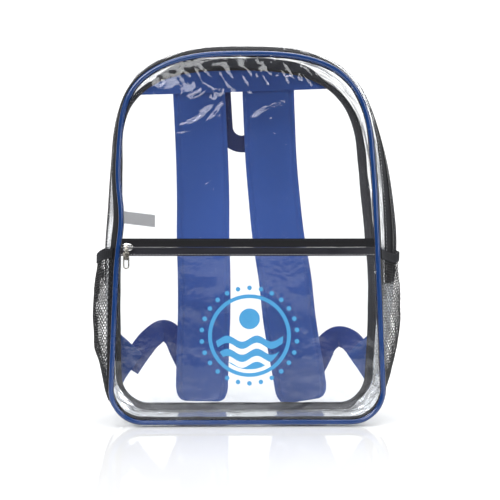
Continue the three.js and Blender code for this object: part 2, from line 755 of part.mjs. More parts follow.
function straps() {
  for (const word of ["left", "right"]) {
    const rows = strapRows.map((r) => behind(r[word], r.height, r.standOff));
    const middles = smoothPath(rows, 22);
    const foot = middles[middles.length - 1];
    const taper = 18;
    const widths = middles.map((p) =>
      lerp(strapEndWidth, strapWidth, smooth(p.distanceTo(foot), 0, taper)));
    add(`shoulder_strap_${word}`, ribbon(middles, widths, strapThick, 2), blueCloth);

    // The adjuster is folded up behind the strap's foot
    const frame = new THREE.Shape();
    const [w, l] = [adjusterWidth / 2, adjusterLength / 2];
    const cut = 3;
    frame.moveTo(-w + cut, -l);
    frame.lineTo(w - cut, -l);
    frame.lineTo(w, -l + cut);
    frame.lineTo(w, l - cut);
    frame.lineTo(w - cut, l);
    frame.lineTo(-w + cut, l);
    frame.lineTo(-w, l - cut);
    frame.lineTo(-w, -l + cut);
    for (const middle of [-l / 2, l / 2]) {
      const slot = new THREE.Path();
      const half = webbingWidth / 2 + 1;
      slot.moveTo(-half, middle - adjusterSlot / 2);
      slot.lineTo(half, middle - adjusterSlot / 2);
      slot.lineTo(half, middle + adjusterSlot / 2);
      slot.lineTo(-half, middle + adjusterSlot / 2);
      frame.holes.push(slot);
    }
    const plate = new THREE.ExtrudeGeometry(frame, {
      depth: adjusterThick, bevelEnabled: false,
    });
    plate.rotateX(Math.PI / 2);
    const adjuster = add(`strap_adjuster_${word}`, plate, blackPlastic);
    const beside = middles.filter((p) => p.z < foot.z + adjusterOverFoot + adjusterLength + l);
    const front = Math.max(...beside.map((p) => p.y)) + strapThick / 2 + seamGap;
    adjuster.position.set(foot.x, front + adjusterThick, foot.z + adjusterOverFoot + l);

    // The webbing comes out of the adjuster's upper slot and over to the corner tab
    const inSlot = new THREE.Vector3(foot.x, front + 1, adjuster.position.z + l / 2);
    const overSlot = inSlot.clone().setY(front + adjusterThick + webbingStand);
    const risen = overSlot.clone().add(new THREE.Vector3(0, webbingStand, 1.4 * webbingStand));
    const path = smoothPath([
      inSlot, overSlot, risen,
      ...webbingRows[word].map((r) => behind(r.across, r.height, r.standOff)),
    ], 26);
    add(`adjusting_webbing_${word}`,
      ribbon(path, path.map(() => webbingWidth), webbingThick), blueCloth);
  }
}

// The tabs in the lower side seams that carry the webbing
function cornerTabs() {
  const layer = (sheetThick + clothThick) / 2 + seamGap;
  for (const [word, side] of [["left", -1], ["right", 1]]) {
    const heights = spread(tab.low * bagHeight, tab.high * bagHeight, 6);
    const tip = tab.tipHeight * bagHeight;
    const grid = heights.map((z) => {
      const t = z < tip
        ? (z - heights[0]) / (tip - heights[0])
        : (heights[6] - z) / (heights[6] - tip);
      const outer = halfWidthAt(backRim, z) - seamGap;
      const inner = outer - halfWidth * Math.max(tab.endIn, tab.tipIn * t);
      return spread(outer, inner, 2).map((x) =>
        new THREE.Vector3(side * x, backSurface(x, z) + layer, z));
    });
    add(`corner_tab_${word}`, sheet(grid, clothThick), blueCloth);
  }
}

// The grab loop hangs from the yoke over the tops of the straps
function haulLoop() {
  const top = strapRows[0].height * bagHeight;
  const legX = haulWebbingWidth;
  const low = top - haulLoopDrop + haulWebbingWidth / 2;
  const legLayer = (x, z) => {
    const row = z / bagHeight;
    const stand = bagDepth * tableValue(strapRows, row, "standOff");
    return backSurface(x, z) + stand + strapThick / 2 + seamGap + webbingThick;
  };
  const place = (x, z) => new THREE.Vector3(x, legLayer(x, z), z);
  const leg = spread(top, low + legX, 5);
  const bend = spread(0, Math.PI, 10).map((a) =>
    place(-legX * Math.cos(a), low + legX - legX * Math.sin(a)));
  const middles = [
    ...leg.slice(0, -1).map((z) => place(-legX, z)),
    ...bend,
    ...leg.slice(0, -1).reverse().map((z) => place(legX, z)),
  ];
  add("haul_loop",
    ribbon(middles, middles.map(() => haulWebbingWidth), webbingThick), navyWebbing);
}

// A small satin label sewn into the left front seam, just behind the front panel
function sideLabel() {
  const height = pocketZipTop + labelOverZip;
  const start = -halfWidthAt(frontRim, height) + pipingRadius + seamGap;
  const droop = 0.12;
  const layer = (sheetThick + labelThick) / 2 + seamGap;
  const grid = spread(-labelHeight / 2, labelHeight / 2, 1).map((v) =>
    spread(start, start + labelWidth, 4).map((x) => {
      const z = height + v - droop * (x - start);
      return new THREE.Vector3(x, frontSurface(x, z) + layer, z);
    }));
  add("side_label", sheet(grid, labelThick), whiteSatin);
}

rims();
gusset();
front();
zipPulls();
meshPockets();
back();
straps();
cornerTabs();
haulLoop();
sideLabel();

// The bag stands with the middle of its box over the origin
const box = new THREE.Box3().setFromObject(backpack, true);
const middle = box.getCenter(new THREE.Vector3());
backpack.position.set(-middle.x, -middle.y, -box.min.z);

export default backpack;
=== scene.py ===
import bpy
import bmesh
import math
import numpy as np
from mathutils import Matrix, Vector, noise


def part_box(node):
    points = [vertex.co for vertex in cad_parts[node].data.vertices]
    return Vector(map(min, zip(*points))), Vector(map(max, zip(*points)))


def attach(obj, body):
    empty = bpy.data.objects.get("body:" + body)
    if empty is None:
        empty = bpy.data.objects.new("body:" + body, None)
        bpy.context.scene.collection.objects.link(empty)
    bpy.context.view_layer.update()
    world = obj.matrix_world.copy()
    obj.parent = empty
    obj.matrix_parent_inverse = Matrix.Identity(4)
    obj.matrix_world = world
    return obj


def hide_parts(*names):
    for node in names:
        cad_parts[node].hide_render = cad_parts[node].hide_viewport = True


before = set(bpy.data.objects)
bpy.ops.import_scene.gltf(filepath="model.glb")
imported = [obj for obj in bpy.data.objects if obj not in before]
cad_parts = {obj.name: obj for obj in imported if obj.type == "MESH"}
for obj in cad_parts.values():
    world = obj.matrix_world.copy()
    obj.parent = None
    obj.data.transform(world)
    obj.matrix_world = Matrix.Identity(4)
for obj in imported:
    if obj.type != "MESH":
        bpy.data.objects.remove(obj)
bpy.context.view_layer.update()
mm = 0.001
print("frame loaded")

# the bag's sizes in millimetres: its rims lie up to 2.5 mm outside the solids', as in the photo
bag = {
    "height": 400.0, "depth": 130.0,
    "frontWidth": 295.0, "backWidth": 294.0,
    "frontShoulder": 273.0, "backShoulder": 286.0, "shoulderHeight": 291.0,
    "corner": 36.0, "archPower": 2.8,
    "flatEnd": 0.1, "cornerEnd": 0.28, "sideEnd": 0.62,   # stretches of half a rim
    "piping": 2.7, "pipingIn": 1.5, "rimOverFloor": 2.8, "seam": 0.4,
    "sheet": 0.6,              # the real plastic is thinner than the solid one
    "solidSheet": 1.0,
    "frontCrown": 7.0, "backCrown": 4.0,
    "bulge": {"even": (2.4, 1.0), "leaning": (1.2, 1.4)},     # power, and how far back
    "seed": 11,
}
frontY, backY = -bag["depth"] / 2, bag["depth"] / 2
rimBottom = bag["rimOverFloor"]
halfBag = bag["frontWidth"] / 2
frontRim = {"y": frontY, "width": bag["frontWidth"], "shoulder": bag["frontShoulder"]}
backRim = {"y": backY, "width": bag["backWidth"], "shoulder": bag["backShoulder"]}

# the piping's box gives where the bag's own middle lies in the frame
pipeLow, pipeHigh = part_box("front_piping")
bagOrigin = np.array([(pipeLow.x + pipeHigh.x) / 2, (pipeLow.y + pipeHigh.y) / 2 - frontY * mm, 0.0])

gussetFullness = {
    "height": [0, 0.12, 0.3, 0.48, 0.6, 0.72, 0.85, 0.94, 1],
    "left": [0.05, 0.06, 0.085, 0.1, 0.085, 0.065, 0.05, 0.08, 0.105],
    "right": [0.05, 0.085, 0.14, 0.2, 0.19, 0.148, 0.065, 0.08, 0.105],
}
# on the right the gusset leans back to a sharper crest
gussetLean = {"height": [0, 0.8, 1], "left": [0, 0, 0], "right": [1, 1, 0]}
meshFullness = {
    "height": [0, 0.15, 0.35, 0.7, 1],
    "left": [0, 0.035, 0.095, 0.1, 0.065],
    "right": [0, 0.038, 0.08, 0.07, 0.015],
}
slumps = [
    {"at": (-1, -1, 0.56), "spread": (0.4, 0.5, 0.06), "move": 0.026},
    {"at": (-1, -1, 0.68), "spread": (0.4, 0.5, 0.07), "move": -0.018},
    {"at": (-1, -1, 0.93), "spread": (0.5, 0.5, 0.07), "move": -0.02},
    {"at": (1, -1, 0.87), "spread": (0.5, 0.5, 0.1), "move": -0.028},
    {"at": (-1, 1, 0.38), "spread": (0.35, 0.5, 0.3), "move": -0.048},
    {"at": (1, 1, 0.35), "spread": (0.35, 0.5, 0.17), "move": 0.055},
    {"at": (0, 1, 1), "spread": (3, 0.5, 0.2), "move": -0.055},
]


def smoothStep(x, low, high):
    t = np.clip((np.asarray(x, float) - low) / (high - low), 0, 1)
    return t * t * (3 - 2 * t)


def mix(a, b, t):
    return a + (b - a) * t


def tableValue(table, height, column):
    # a smooth curve through the table's rows
    keys, values = np.array(table["height"], float), np.array(table[column], float)
    height = np.asarray(height, float)
    i = np.clip(np.searchsorted(keys, height) - 1, 0, len(keys) - 2)
    t = np.clip((height - keys[i]) / (keys[i + 1] - keys[i]), 0, 1)
    p, q = values[i], values[i + 1]
    m0 = (q - values[np.maximum(i - 1, 0)]) / 2
    m1 = (values[np.minimum(i + 2, len(keys) - 1)] - p) / 2
    return ((2 * t**3 - 3 * t**2 + 1) * p + (t**3 - 2 * t**2 + t) * m0
            + (3 * t**2 - 2 * t**3) * q + (t**3 - t**2) * m1)


def rimPoint(rim, share, inset=0.0):
    # x and z on the right half of a rim, share 0 at the bottom middle and 1 at the top
    share = np.asarray(share, float)
    half, radius = rim["width"] / 2 - inset, bag["corner"] - inset
    bottom, shoulder = rimBottom + inset, rim["shoulder"] / 2 - inset
    flatEnd, cornerEnd, sideEnd = bag["flatEnd"], bag["cornerEnd"], bag["sideEnd"]
    turn = np.clip((share - flatEnd) / (cornerEnd - flatEnd), 0, 1) * math.pi / 2
    t = np.clip((share - cornerEnd) / (sideEnd - cornerEnd), 0, 1)
    arch = np.clip((share - sideEnd) / (1 - sideEnd), 0, 1) * math.pi / 2
    power = 2 / bag["archPower"]
    pick = [share <= flatEnd, share <= cornerEnd, share <= sideEnd]
    x = np.select(pick, [
        (half - radius) * share / flatEnd,
        half - radius + radius * np.sin(turn),
        mix(half, shoulder, t),
    ], shoulder * np.clip(np.cos(arch), 0, 1) ** power)
    rise = bag["height"] - inset - bag["shoulderHeight"]
    z = np.select(pick, [
        np.full_like(share, bottom),
        bottom + radius - radius * np.cos(turn),
        mix(bottom + radius, bag["shoulderHeight"], t),
    ], bag["shoulderHeight"] + rise * np.sin(arch) ** power)
    return x, z


def rimNormal(rim, share):
    step = 2e-3
    ax, az = rimPoint(rim, np.clip(share - step, 0, 1))
    bx, bz = rimPoint(rim, np.clip(share + step, 0, 1))
    nx, nz = bz - az, ax - bx
    size = np.hypot(nx, nz)
    return nx / size, nz / size


shareSteps = np.linspace(bag["flatEnd"], 1, 3000)
shareHeights = rimPoint(frontRim, shareSteps)[1]


def shareAt(z, inset=0.0):
    heights = shareHeights if not inset else rimPoint(frontRim, shareSteps, inset)[1]
    return np.interp(z, heights, shareSteps)


def halfWidthAt(rim, z):
    return rimPoint(rim, shareAt(z))[0]


def evenShares(low, high, count, rim=frontRim):
    # shares at even distances along the outline
    fine = np.linspace(low, high, 2500)
    x, z = rimPoint(rim, fine)
    run = np.concatenate([[0], np.cumsum(np.hypot(np.diff(x), np.diff(z)))])
    return np.interp(np.linspace(0, run[-1], count + 1), run, fine)


def ringPlaces(count):
    # all the way round: up the right side and down the left
    right = evenShares(0, 1, count // 2)
    left = right[1:-1][::-1]
    return np.concatenate([right, left]), np.concatenate([np.ones(len(right)), -np.ones(len(left))])


def overTop(low, count):
    right = evenShares(low, 1, count // 2)
    left = right[:-1][::-1]
    return np.concatenate([right, left]), np.concatenate([np.ones(len(right)), -np.ones(len(left))])


def underBottom(high, count):
    right = evenShares(0, high, count // 2)
    left = right[1:][::-1]
    return np.concatenate([left, right]), np.concatenate([-np.ones(len(left)), np.ones(len(right))])


def gussetPoint(share, side, across, lift=0.0):
    fx, fz = rimPoint(frontRim, share)
    bx, bz = rimPoint(backRim, share)
    nx, nz = rimNormal(frontRim, share)
    low = smoothStep(fz, rimBottom, rimBottom + bag["corner"])
    full = bag["depth"] * np.where(
        side > 0, tableValue(gussetFullness, fz / bag["height"], "right"),
        tableValue(gussetFullness, fz / bag["height"], "left"))
    under = (rimBottom - bag["solidSheet"] / 2) * np.minimum(1, np.minimum(across, 1 - across) / 0.15)
    lean = np.where(side > 0, tableValue(gussetLean, fz / bag["height"], "right"), 0)
    (evenPower, evenBack), (leanPower, leanBack) = bag["bulge"]["even"], bag["bulge"]["leaning"]
    along = across ** mix(evenBack, leanBack, lean)
    beside = full * (1 - np.abs(2 * along - 1) ** mix(evenPower, leanPower, lean))
    reach = mix(under, beside, low) + lift
    return np.stack([
        side * (mix(fx, bx, across) + nx * reach),
        mix(frontY, backY, across) + 0 * reach,
        mix(fz, bz, across) + nz * reach,
    ], -1)


def bow(rim, x, z):
    middle = (rimBottom + bag["height"]) / 2
    edge = np.clip(np.abs(x) / np.maximum(1, halfWidthAt(rim, z)), 0, 1)
    end = np.clip(np.abs(z - middle) / (middle - rimBottom), 0, 1)
    return (1 - edge**4) * (1 - end**6)


def frontSurface(x, z):
    return frontY - bag["frontCrown"] * bow(frontRim, x, z)


def backSurface(x, z):
    return backY + bag["backCrown"] * bow(backRim, x, z)


def settle(p):
    p = np.array(p, float)
    across, deep, up = p[..., 0] / halfBag, p[..., 1] / backY, p[..., 2] / bag["height"]
    move = np.zeros(p.shape[:-1])
    for s in slumps:
        far = sum(((v - a) / w) ** 2 for v, a, w in zip((across, deep, up), s["at"], s["spread"]))
        move += s["move"] * halfBag * np.exp(-far / 2)
    p[..., 0] += move
    return p


def softNoise(p, size, seed):
    # smooth noise from -1 to 1 with bumps of about that size, which may differ by axis
    size = np.broadcast_to(np.asarray(size, float), (3,))
    q = (np.asarray(p, float) / size).reshape(-1, 3) + np.array([seed * 17.3, seed * 5.9, seed * 9.1])
    return np.array([noise.noise(Vector(v)) for v in q]).reshape(np.shape(p)[:-1])


def foldsAt(u, v, folds):
    # ridges along short lines: each runs from start to end, with its width and height
    total = np.zeros(np.shape(u))
    for f in folds:
        (ax, az), (bx, bz) = f["start"], f["end"]
        dx, dz = bx - ax, bz - az
        length = math.hypot(dx, dz)
        t = ((u - ax) * dx + (v - az) * dz) / length**2
        wave = f.get("bend", 0) * np.sin(np.clip(t, 0, 1) * math.pi)
        off = ((u - ax) * -dz + (v - az) * dx) / length - wave
        fade = smoothStep(t, -0.12, 0.25) * (1 - smoothStep(t, 0.7, 1.12))
        total += f["height"] * fade * np.exp(-((off / f["width"]) ** 2))
    return total


# meshes from grids


def gridNormals(grid, ring=False):
    if ring:
        along = np.roll(grid, -1, 0) - np.roll(grid, 1, 0)
    else:
        along = np.gradient(grid, axis=0)
    n = np.cross(along, np.gradient(grid, axis=1))
    return n / np.maximum(np.linalg.norm(n, axis=-1, keepdims=True), 1e-9)


def gridRun(grid):
    # distances along rows and columns, for a UV map in millimetres
    du = np.linalg.norm(np.diff(grid, axis=1), axis=-1).mean(0)
    dv = np.linalg.norm(np.diff(grid, axis=0), axis=-1).mean(1)
    return np.concatenate([[0], np.cumsum(du)]), np.concatenate([[0], np.cumsum(dv)])


def addObject(name, data):
    made = bpy.data.objects.new(name, data)
    bpy.context.scene.collection.objects.link(made)
    return made


def dress(made, node, body="bag"):
    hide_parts(node)
    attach(made, body)
    return made


def makeObject(name, points, faces, uvs, material, sharp=40):
    mesh = bpy.data.meshes.new(name)
    mesh.from_pydata((np.asarray(points, float) * mm + bagOrigin).tolist(), [], faces)
    layer = mesh.uv_layers.new(name="UVMap")
    order = np.zeros(len(mesh.loops), np.int32)
    mesh.loops.foreach_get("vertex_index", order)
    layer.data.foreach_set("uv", np.asarray(uvs, np.float32)[order].ravel())
    mesh.validate()
    work = bmesh.new()
    work.from_mesh(mesh)
    if work.calc_volume(signed=True) < 0:
        bmesh.ops.reverse_faces(work, faces=work.faces)
    work.to_mesh(mesh)
    work.free()
    for p in mesh.polygons:
        p.use_smooth = True
    mesh.set_sharp_from_angle(angle=math.radians(sharp))
    mesh.materials.append(material)
    return addObject(name, mesh)


def sideFaces(rows, count, ring):
    # the quads between each row of points and the next
    index = np.arange(rows * count).reshape(rows, count)
    faces = []
    for i in range(rows if ring else rows - 1):
        a, b = index[i], index[(i + 1) % rows]
        a1, b1 = np.roll(a, -1), np.roll(b, -1)
        faces += np.stack([a, a1, b1, b], 1).tolist()
    return index, faces


def loft(name, sections, material, ring=False, uvs=None, sharp=40):
    # sections: rows of as many points each, each row going round the body once
    index, faces = sideFaces(*sections.shape[:2], ring)
    if not ring:
        faces += [index[0][::-1].tolist(), index[-1].tolist()]
    if uvs is None:
        along = np.linalg.norm(np.diff(sections.mean(1), axis=0), axis=-1)
        around = np.linalg.norm(np.roll(sections, -1, 1) - sections, axis=-1).mean(0)
        v = np.concatenate([[0], np.cumsum(along)])
        u = np.concatenate([[0], np.cumsum(around)[:-1]])
        uvs = np.stack(np.broadcast_arrays(u[None, :], v[:, None]), -1)
    return makeObject(name, sections.reshape(-1, 3), faces, uvs.reshape(-1, 2), material, sharp)


def sheet(name, grid, thickness, material, ring=False):
    # a closed skin of even thickness about a grid of points
    normals = gridNormals(grid, ring) * thickness / 2
    u, v = gridRun(grid)
    flat = np.stack(np.broadcast_arrays(u[None, :], v[:, None]), -1)
    outer, inner = grid + normals, (grid - normals)[:, ::-1]
    sections = settle(np.concatenate([outer, inner], 1))
    rows, count = sections.shape[:2]
    index, faces = sideFaces(rows, count, ring)
    if not ring:
        for row, flip in ((index[0], True), (index[-1], False)):
            for j in range(count // 2 - 1):
                q = [row[j], row[j + 1], row[count - 2 - j], row[count - 1 - j]]
                faces.append([int(x) for x in (q[::-1] if flip else q)][::-1])
    uvs = np.concatenate([flat, flat[:, ::-1]], 1)
    return makeObject(name, sections.reshape(-1, 3), faces, uvs.reshape(-1, 2), material)


def smoothPath(points, steps):
    # a centripetal curve through the points
    p = np.array(points, float)
    p = np.vstack([2 * p[0] - p[1], p, 2 * p[-1] - p[-2]])
    out = []
    segments = len(p) - 3
    for k in range(steps + 1):
        at = min(k / steps * segments, segments - 1e-9)
        i = int(at)
        t, (a, b, c, d) = at - i, p[i:i + 4]
        d0, d1, d2 = [max(np.linalg.norm(y - x) ** 0.5, 1e-4) for x, y in ((a, b), (b, c), (c, d))]
        m0 = ((b - a) / d0 - (c - a) / (d0 + d1) + (c - b) / d1) * d1
        m1 = ((c - b) / d1 - (d - b) / (d1 + d2) + (d - c) / d2) * d1
        out.append((2 * t**3 - 3 * t**2 + 1) * b + (t**3 - 2 * t**2 + t) * m0
                   + (3 * t**2 - 2 * t**3) * c + (t**3 - t**2) * m1)
    return np.array(out)


def ribbonFrames(middles):
    ahead = np.vstack([middles[1:], middles[-1:]])
    back = np.vstack([middles[:1], middles[:-1]])
    along = ahead - back
    along /= np.linalg.norm(along, axis=1, keepdims=True)
    across = np.cross([0.0, 1.0, 0.0], along)
    size = np.linalg.norm(across, axis=1, keepdims=True)
    across = np.where(size > 1e-4, across / np.maximum(size, 1e-9), [1.0, 0.0, 0.0])
    out = np.cross(along, across)
    return across, out / np.linalg.norm(out, axis=1, keepdims=True)


def ribbon(name, middles, widths, thickness, material, columns=10, edge=0.5, crown=None, sharp=40):
    # a flat band with soft edges: crown says how much thicker it is at u from -1 to 1
    across, out = ribbonFrames(middles)
    u = np.linspace(-1, 1, columns + 1)
    lift = np.sqrt(np.clip(1 - np.abs(u) ** (2 / max(edge, 0.05)), 0.06, 1))
    run = np.concatenate([[0], np.cumsum(np.linalg.norm(np.diff(middles, axis=0), axis=1))])
    thick = thickness * lift[None, :] / 2
    if crown is not None:
        thick = thick * crown(u[None, :], run[:, None])
    at = middles[:, None] + across[:, None] * (u[None, :, None] * np.asarray(widths)[:, None, None] / 2)
    upper = at + out[:, None] * thick[..., None]
    lower = (at - out[:, None] * thick[..., None])[:, ::-1]
    sections = settle(np.concatenate([upper, lower], 1))
    flat = np.stack(np.broadcast_arrays(u[None, :] * np.asarray(widths)[:, None] / 2, run[:, None]), -1)
    uvs = np.concatenate([flat, flat[:, ::-1]], 1)
    return loft(name, sections, material, uvs=uvs, sharp=sharp)


# materials


def addNode(tree, kind, **settings):
    node = tree.nodes.new(kind)
    for key, value in settings.items():
        setattr(node, key, value)
    return node


def shaderNode(tree, kind, links=None, **settings):
    node = addNode(tree, kind, **settings)
    for socket, value in (links or {}).items():
        target = node.inputs[socket]
        if isinstance(value, bpy.types.NodeSocket):
            tree.links.new(value, target)
        else:
            target.default_value = value
    return node


def newMaterial(name):
    material = bpy.data.materials.new(name)
    material.use_nodes = True
    tree = material.node_tree
    tree.nodes.clear()
    return material, tree, tree.nodes.new("ShaderNodeOutputMaterial")


def mathNode(tree, operation, *values):
    return shaderNode(tree, "ShaderNodeMath", dict(enumerate(values)), operation=operation).outputs[0]


def mixColour(tree, factor, a, b):
    return shaderNode(tree, "ShaderNodeMix", {0: factor, 6: a, 7: b}, data_type="RGBA").outputs[2]


def mixShader(tree, factor, a, b):
    return shaderNode(tree, "ShaderNodeMixShader", {0: factor, 1: a, 2: b}).outputs[0]


def placeNode(tree, output="Object"):
    return shaderNode(tree, "ShaderNodeTexCoord").outputs[output]


def noiseNode(tree, place, scale, detail=2.0, distortion=0.0):
    return shaderNode(tree, "ShaderNodeTexNoise", {
        "Vector": place, "Scale": scale, "Detail": detail, "Distortion": distortion}).outputs[0]


def bumpNode(tree, height, strength, distance):
    return shaderNode(tree, "ShaderNodeBump", {
        "Height": height, "Strength": strength, "Distance": distance}).outputs[0]


def surfaceNode(tree, values):
    return shaderNode(tree, "ShaderNodeBsdfPrincipled", values).outputs[0]


def clearSheetMaterial(name, ripple=0.5, most=0.45, index=1.36, streaks=0.0):
    # most caps how much it mirrors, and streaks is how much painted grey shade goes into long lines along it:
    # painted dark reflections of the surroundings in its creases
    haze = 0.004
    material, tree, output = newMaterial(name)
    place = placeNode(tree)
    wide = noiseNode(tree, place, 38.0, distortion=0.8)
    fine = noiseNode(tree, place, 150.0, 1.0)
    height = mathNode(tree, "ADD", wide, mathNode(tree, "MULTIPLY", fine, 0.12))
    bump = bumpNode(tree, height, ripple, 0.0022)
    fresnel = shaderNode(tree, "ShaderNodeFresnel", {"IOR": index, "Normal": bump}).outputs[0]
    mirror = surfaceNode(tree, {
        "Base Color": (0.95, 0.965, 0.985, 1), "Metallic": 1.0, "Roughness": 0.045,
        "Normal": bump})
    # grey for the painted streaks of dark reflection when there are any, otherwise a pale colour for the
    # sheet's own faint haze
    hazeAndPaintedStreaks = surfaceNode(tree, {
        "Base Color": (0.8, 0.82, 0.86, 1) if not streaks else (0.3, 0.3, 0.32, 1), "Roughness": 0.5})
    through = shaderNode(tree, "ShaderNodeBsdfTransparent", {"Color": (0.985, 0.988, 0.99, 1)}).outputs[0]
    cover = haze
    if streaks:
        # painted shade: long grey lines from noise, standing in for the dark reflections in the plastic's
        # creases
        flow = shaderNode(tree, "ShaderNodeMapping", {
            "Vector": placeNode(tree, "UV"), "Scale": (1, 0.1, 1)}).outputs[0]
        lines = noiseNode(tree, flow, 0.2, distortion=0.3)
        cover = shaderNode(tree, "ShaderNodeMapRange", {
            0: lines, 1: 0.5, 2: 0.66, 3: haze, 4: streaks}).outputs[0]
    veil = mixShader(tree, cover, through, hazeAndPaintedStreaks)
    gloss = mathNode(tree, "MINIMUM", fresnel, most)
    tree.links.new(mixShader(tree, gloss, veil, mirror), output.inputs[0])
    return material


def clothMaterial(name, colour, dark, threads=1.6, relief=0.35, roughness=0.8, sheen=0.25, chevron=0.0):
    # woven cloth: threads per millimetre in the piece's own UV map, which is in millimetres
    mottle = 0.35
    material, tree, output = newMaterial(name)
    uv = placeNode(tree, "UV")
    split = shaderNode(tree, "ShaderNodeSeparateXYZ", {0: uv})
    u, v = split.outputs[0], split.outputs[1]
    turn = 2 * math.pi * threads
    if chevron:
        zig = mathNode(tree, "PINGPONG", u, chevron)
        v = mathNode(tree, "ADD", v, zig)
    warp = mathNode(tree, "SINE", mathNode(tree, "MULTIPLY", u, turn))
    weft = mathNode(tree, "SINE", mathNode(tree, "MULTIPLY", v, turn))
    weave = mathNode(tree, "MULTIPLY", warp, weft) if not chevron else weft
    weave = mathNode(tree, "MULTIPLY_ADD", weave, 0.5, 0.5)
    place = placeNode(tree)
    cloud = noiseNode(tree, place, 34.0, 4.0)
    amount = mathNode(tree, "MULTIPLY_ADD", weave, 1 - mottle, mathNode(tree, "MULTIPLY", cloud, mottle))
    tone = mixColour(tree, amount, dark, colour)
    fuzz = noiseNode(tree, place, 900.0, 2.0)
    height = mathNode(tree, "ADD", weave, mathNode(tree, "MULTIPLY", fuzz, 0.4))
    bump = bumpNode(tree, height, relief, 0.0002)
    rough = mathNode(tree, "MULTIPLY_ADD", cloud, 0.18, roughness - 0.09)
    cloth = surfaceNode(tree, {
        "Base Color": tone, "Roughness": rough, "Normal": bump,
        "Specular IOR Level": 0.2, "Sheen Weight": sheen, "Sheen Roughness": 0.4,
        "Sheen Tint": (0.7, 0.78, 1, 1)})
    tree.links.new(cloth, output.inputs[0])
    return material


def plasticMaterial(name, colour, roughness=0.35, grain=500.0, relief=0.15, coat=0.0, wobble=0.0):
    material, tree, output = newMaterial(name)
    place = placeNode(tree)
    fine = noiseNode(tree, place, grain, 3.0)
    broad = noiseNode(tree, place, 60.0, 2.0)
    dark = tuple(c * 0.75 for c in colour[:3]) + (1,)
    tone = mixColour(tree, broad, dark, colour)
    height = mathNode(tree, "MULTIPLY_ADD", fine, 0.3, mathNode(tree, "MULTIPLY", broad, wobble))
    bump = bumpNode(tree, height, relief, 0.0006)
    rough = mathNode(tree, "MULTIPLY_ADD", broad, 0.14, roughness - 0.07)
    body = surfaceNode(tree, {
        "Base Color": tone, "Roughness": rough, "Normal": bump,
        "Coat Weight": coat, "Coat Roughness": 0.06})
    tree.links.new(body, output.inputs[0])
    return material


def metalMaterial(name, colour, roughness=0.22):
    material, tree, output = newMaterial(name)
    place = placeNode(tree)
    rub = noiseNode(tree, place, 700.0, 4.0)
    rough = mathNode(tree, "MULTIPLY_ADD", rub, 0.3, roughness - 0.15)
    bump = bumpNode(tree, rub, 0.12, 0.0002)
    tone = mixColour(tree, rub, tuple(c * 0.8 for c in colour[:3]) + (1,), colour)
    body = surfaceNode(tree, {
        "Base Color": tone, "Metallic": 1.0, "Roughness": rough, "Normal": bump})
    tree.links.new(body, output.inputs[0])
    return material


finishes = {
    "clear": clearSheetMaterial("clearSheet"),
    # the gusset and base sheets get painted grey streaks: painted dark reflections in their creases
    "clearSide": clearSheetMaterial("clearGusset", ripple=0.9, most=0.1, streaks=0.6),
    "clearBase": clearSheetMaterial("clearBase", ripple=0.35, most=0.6, index=1.5, streaks=0.12),
    "piping": plasticMaterial("bluePiping", (0.005, 0.038, 0.165, 1), 0.25, coat=0.5, wobble=0.8, relief=0.3),
    "cloth": clothMaterial("blueCloth", (0.058, 0.14, 0.5, 1), (0.044, 0.105, 0.39, 1), threads=0.9),
    "webbing": clothMaterial("blueWebbing", (0.04, 0.085, 0.38, 1), (0.02, 0.042, 0.2, 1),
                             threads=0.5, relief=0.8, chevron=3.1),
    "navy": clothMaterial("navyWebbing", (0.035, 0.05, 0.17, 1), (0.015, 0.022, 0.08, 1),
                          threads=0.5, relief=0.8, chevron=2.5),
    "tape": clothMaterial("blackTape", (0.011, 0.011, 0.013, 1), (0.004, 0.004, 0.005, 1),
                          threads=0.8, relief=0.5, sheen=0.03),
    "greyTape": clothMaterial("greyTape", (0.085, 0.085, 0.095, 1), (0.045, 0.045, 0.05, 1),
                              threads=0.8, relief=0.5, sheen=0.03),
    "lip": plasticMaterial("coveredTape", (0.012, 0.012, 0.018, 1), 0.34, coat=0.25, wobble=1.0, relief=0.6),
    "coil": plasticMaterial("blackCoil", (0.012, 0.012, 0.014, 1), 0.3),
    "mesh": plasticMaterial("meshYarn", (0.014, 0.014, 0.016, 1), 0.55),
    "thread": clothMaterial("blackThread", (0.03, 0.03, 0.033, 1), (0.01, 0.01, 0.012, 1), threads=2.0),
    "paleThread": clothMaterial("paleThread", (0.7, 0.7, 0.72, 1), (0.45, 0.45, 0.48, 1), threads=2.0),
    "blueThread": clothMaterial("blueThread", (0.03, 0.06, 0.26, 1), (0.015, 0.03, 0.14, 1), threads=2.0),
    "plastic": plasticMaterial("blackPlastic", (0.015, 0.015, 0.017, 1), 0.4, grain=900.0),
    "slider": metalMaterial("brightZinc", (0.86, 0.86, 0.85, 1), 0.18),
    "pull": metalMaterial("nickelPull", (0.72, 0.68, 0.6, 1), 0.26),
    "label": clothMaterial("whiteSatin", (0.42, 0.42, 0.43, 1), (0.33, 0.33, 0.34, 1),
                           threads=1.4, relief=0.15, roughness=0.55, sheen=0.4),
}


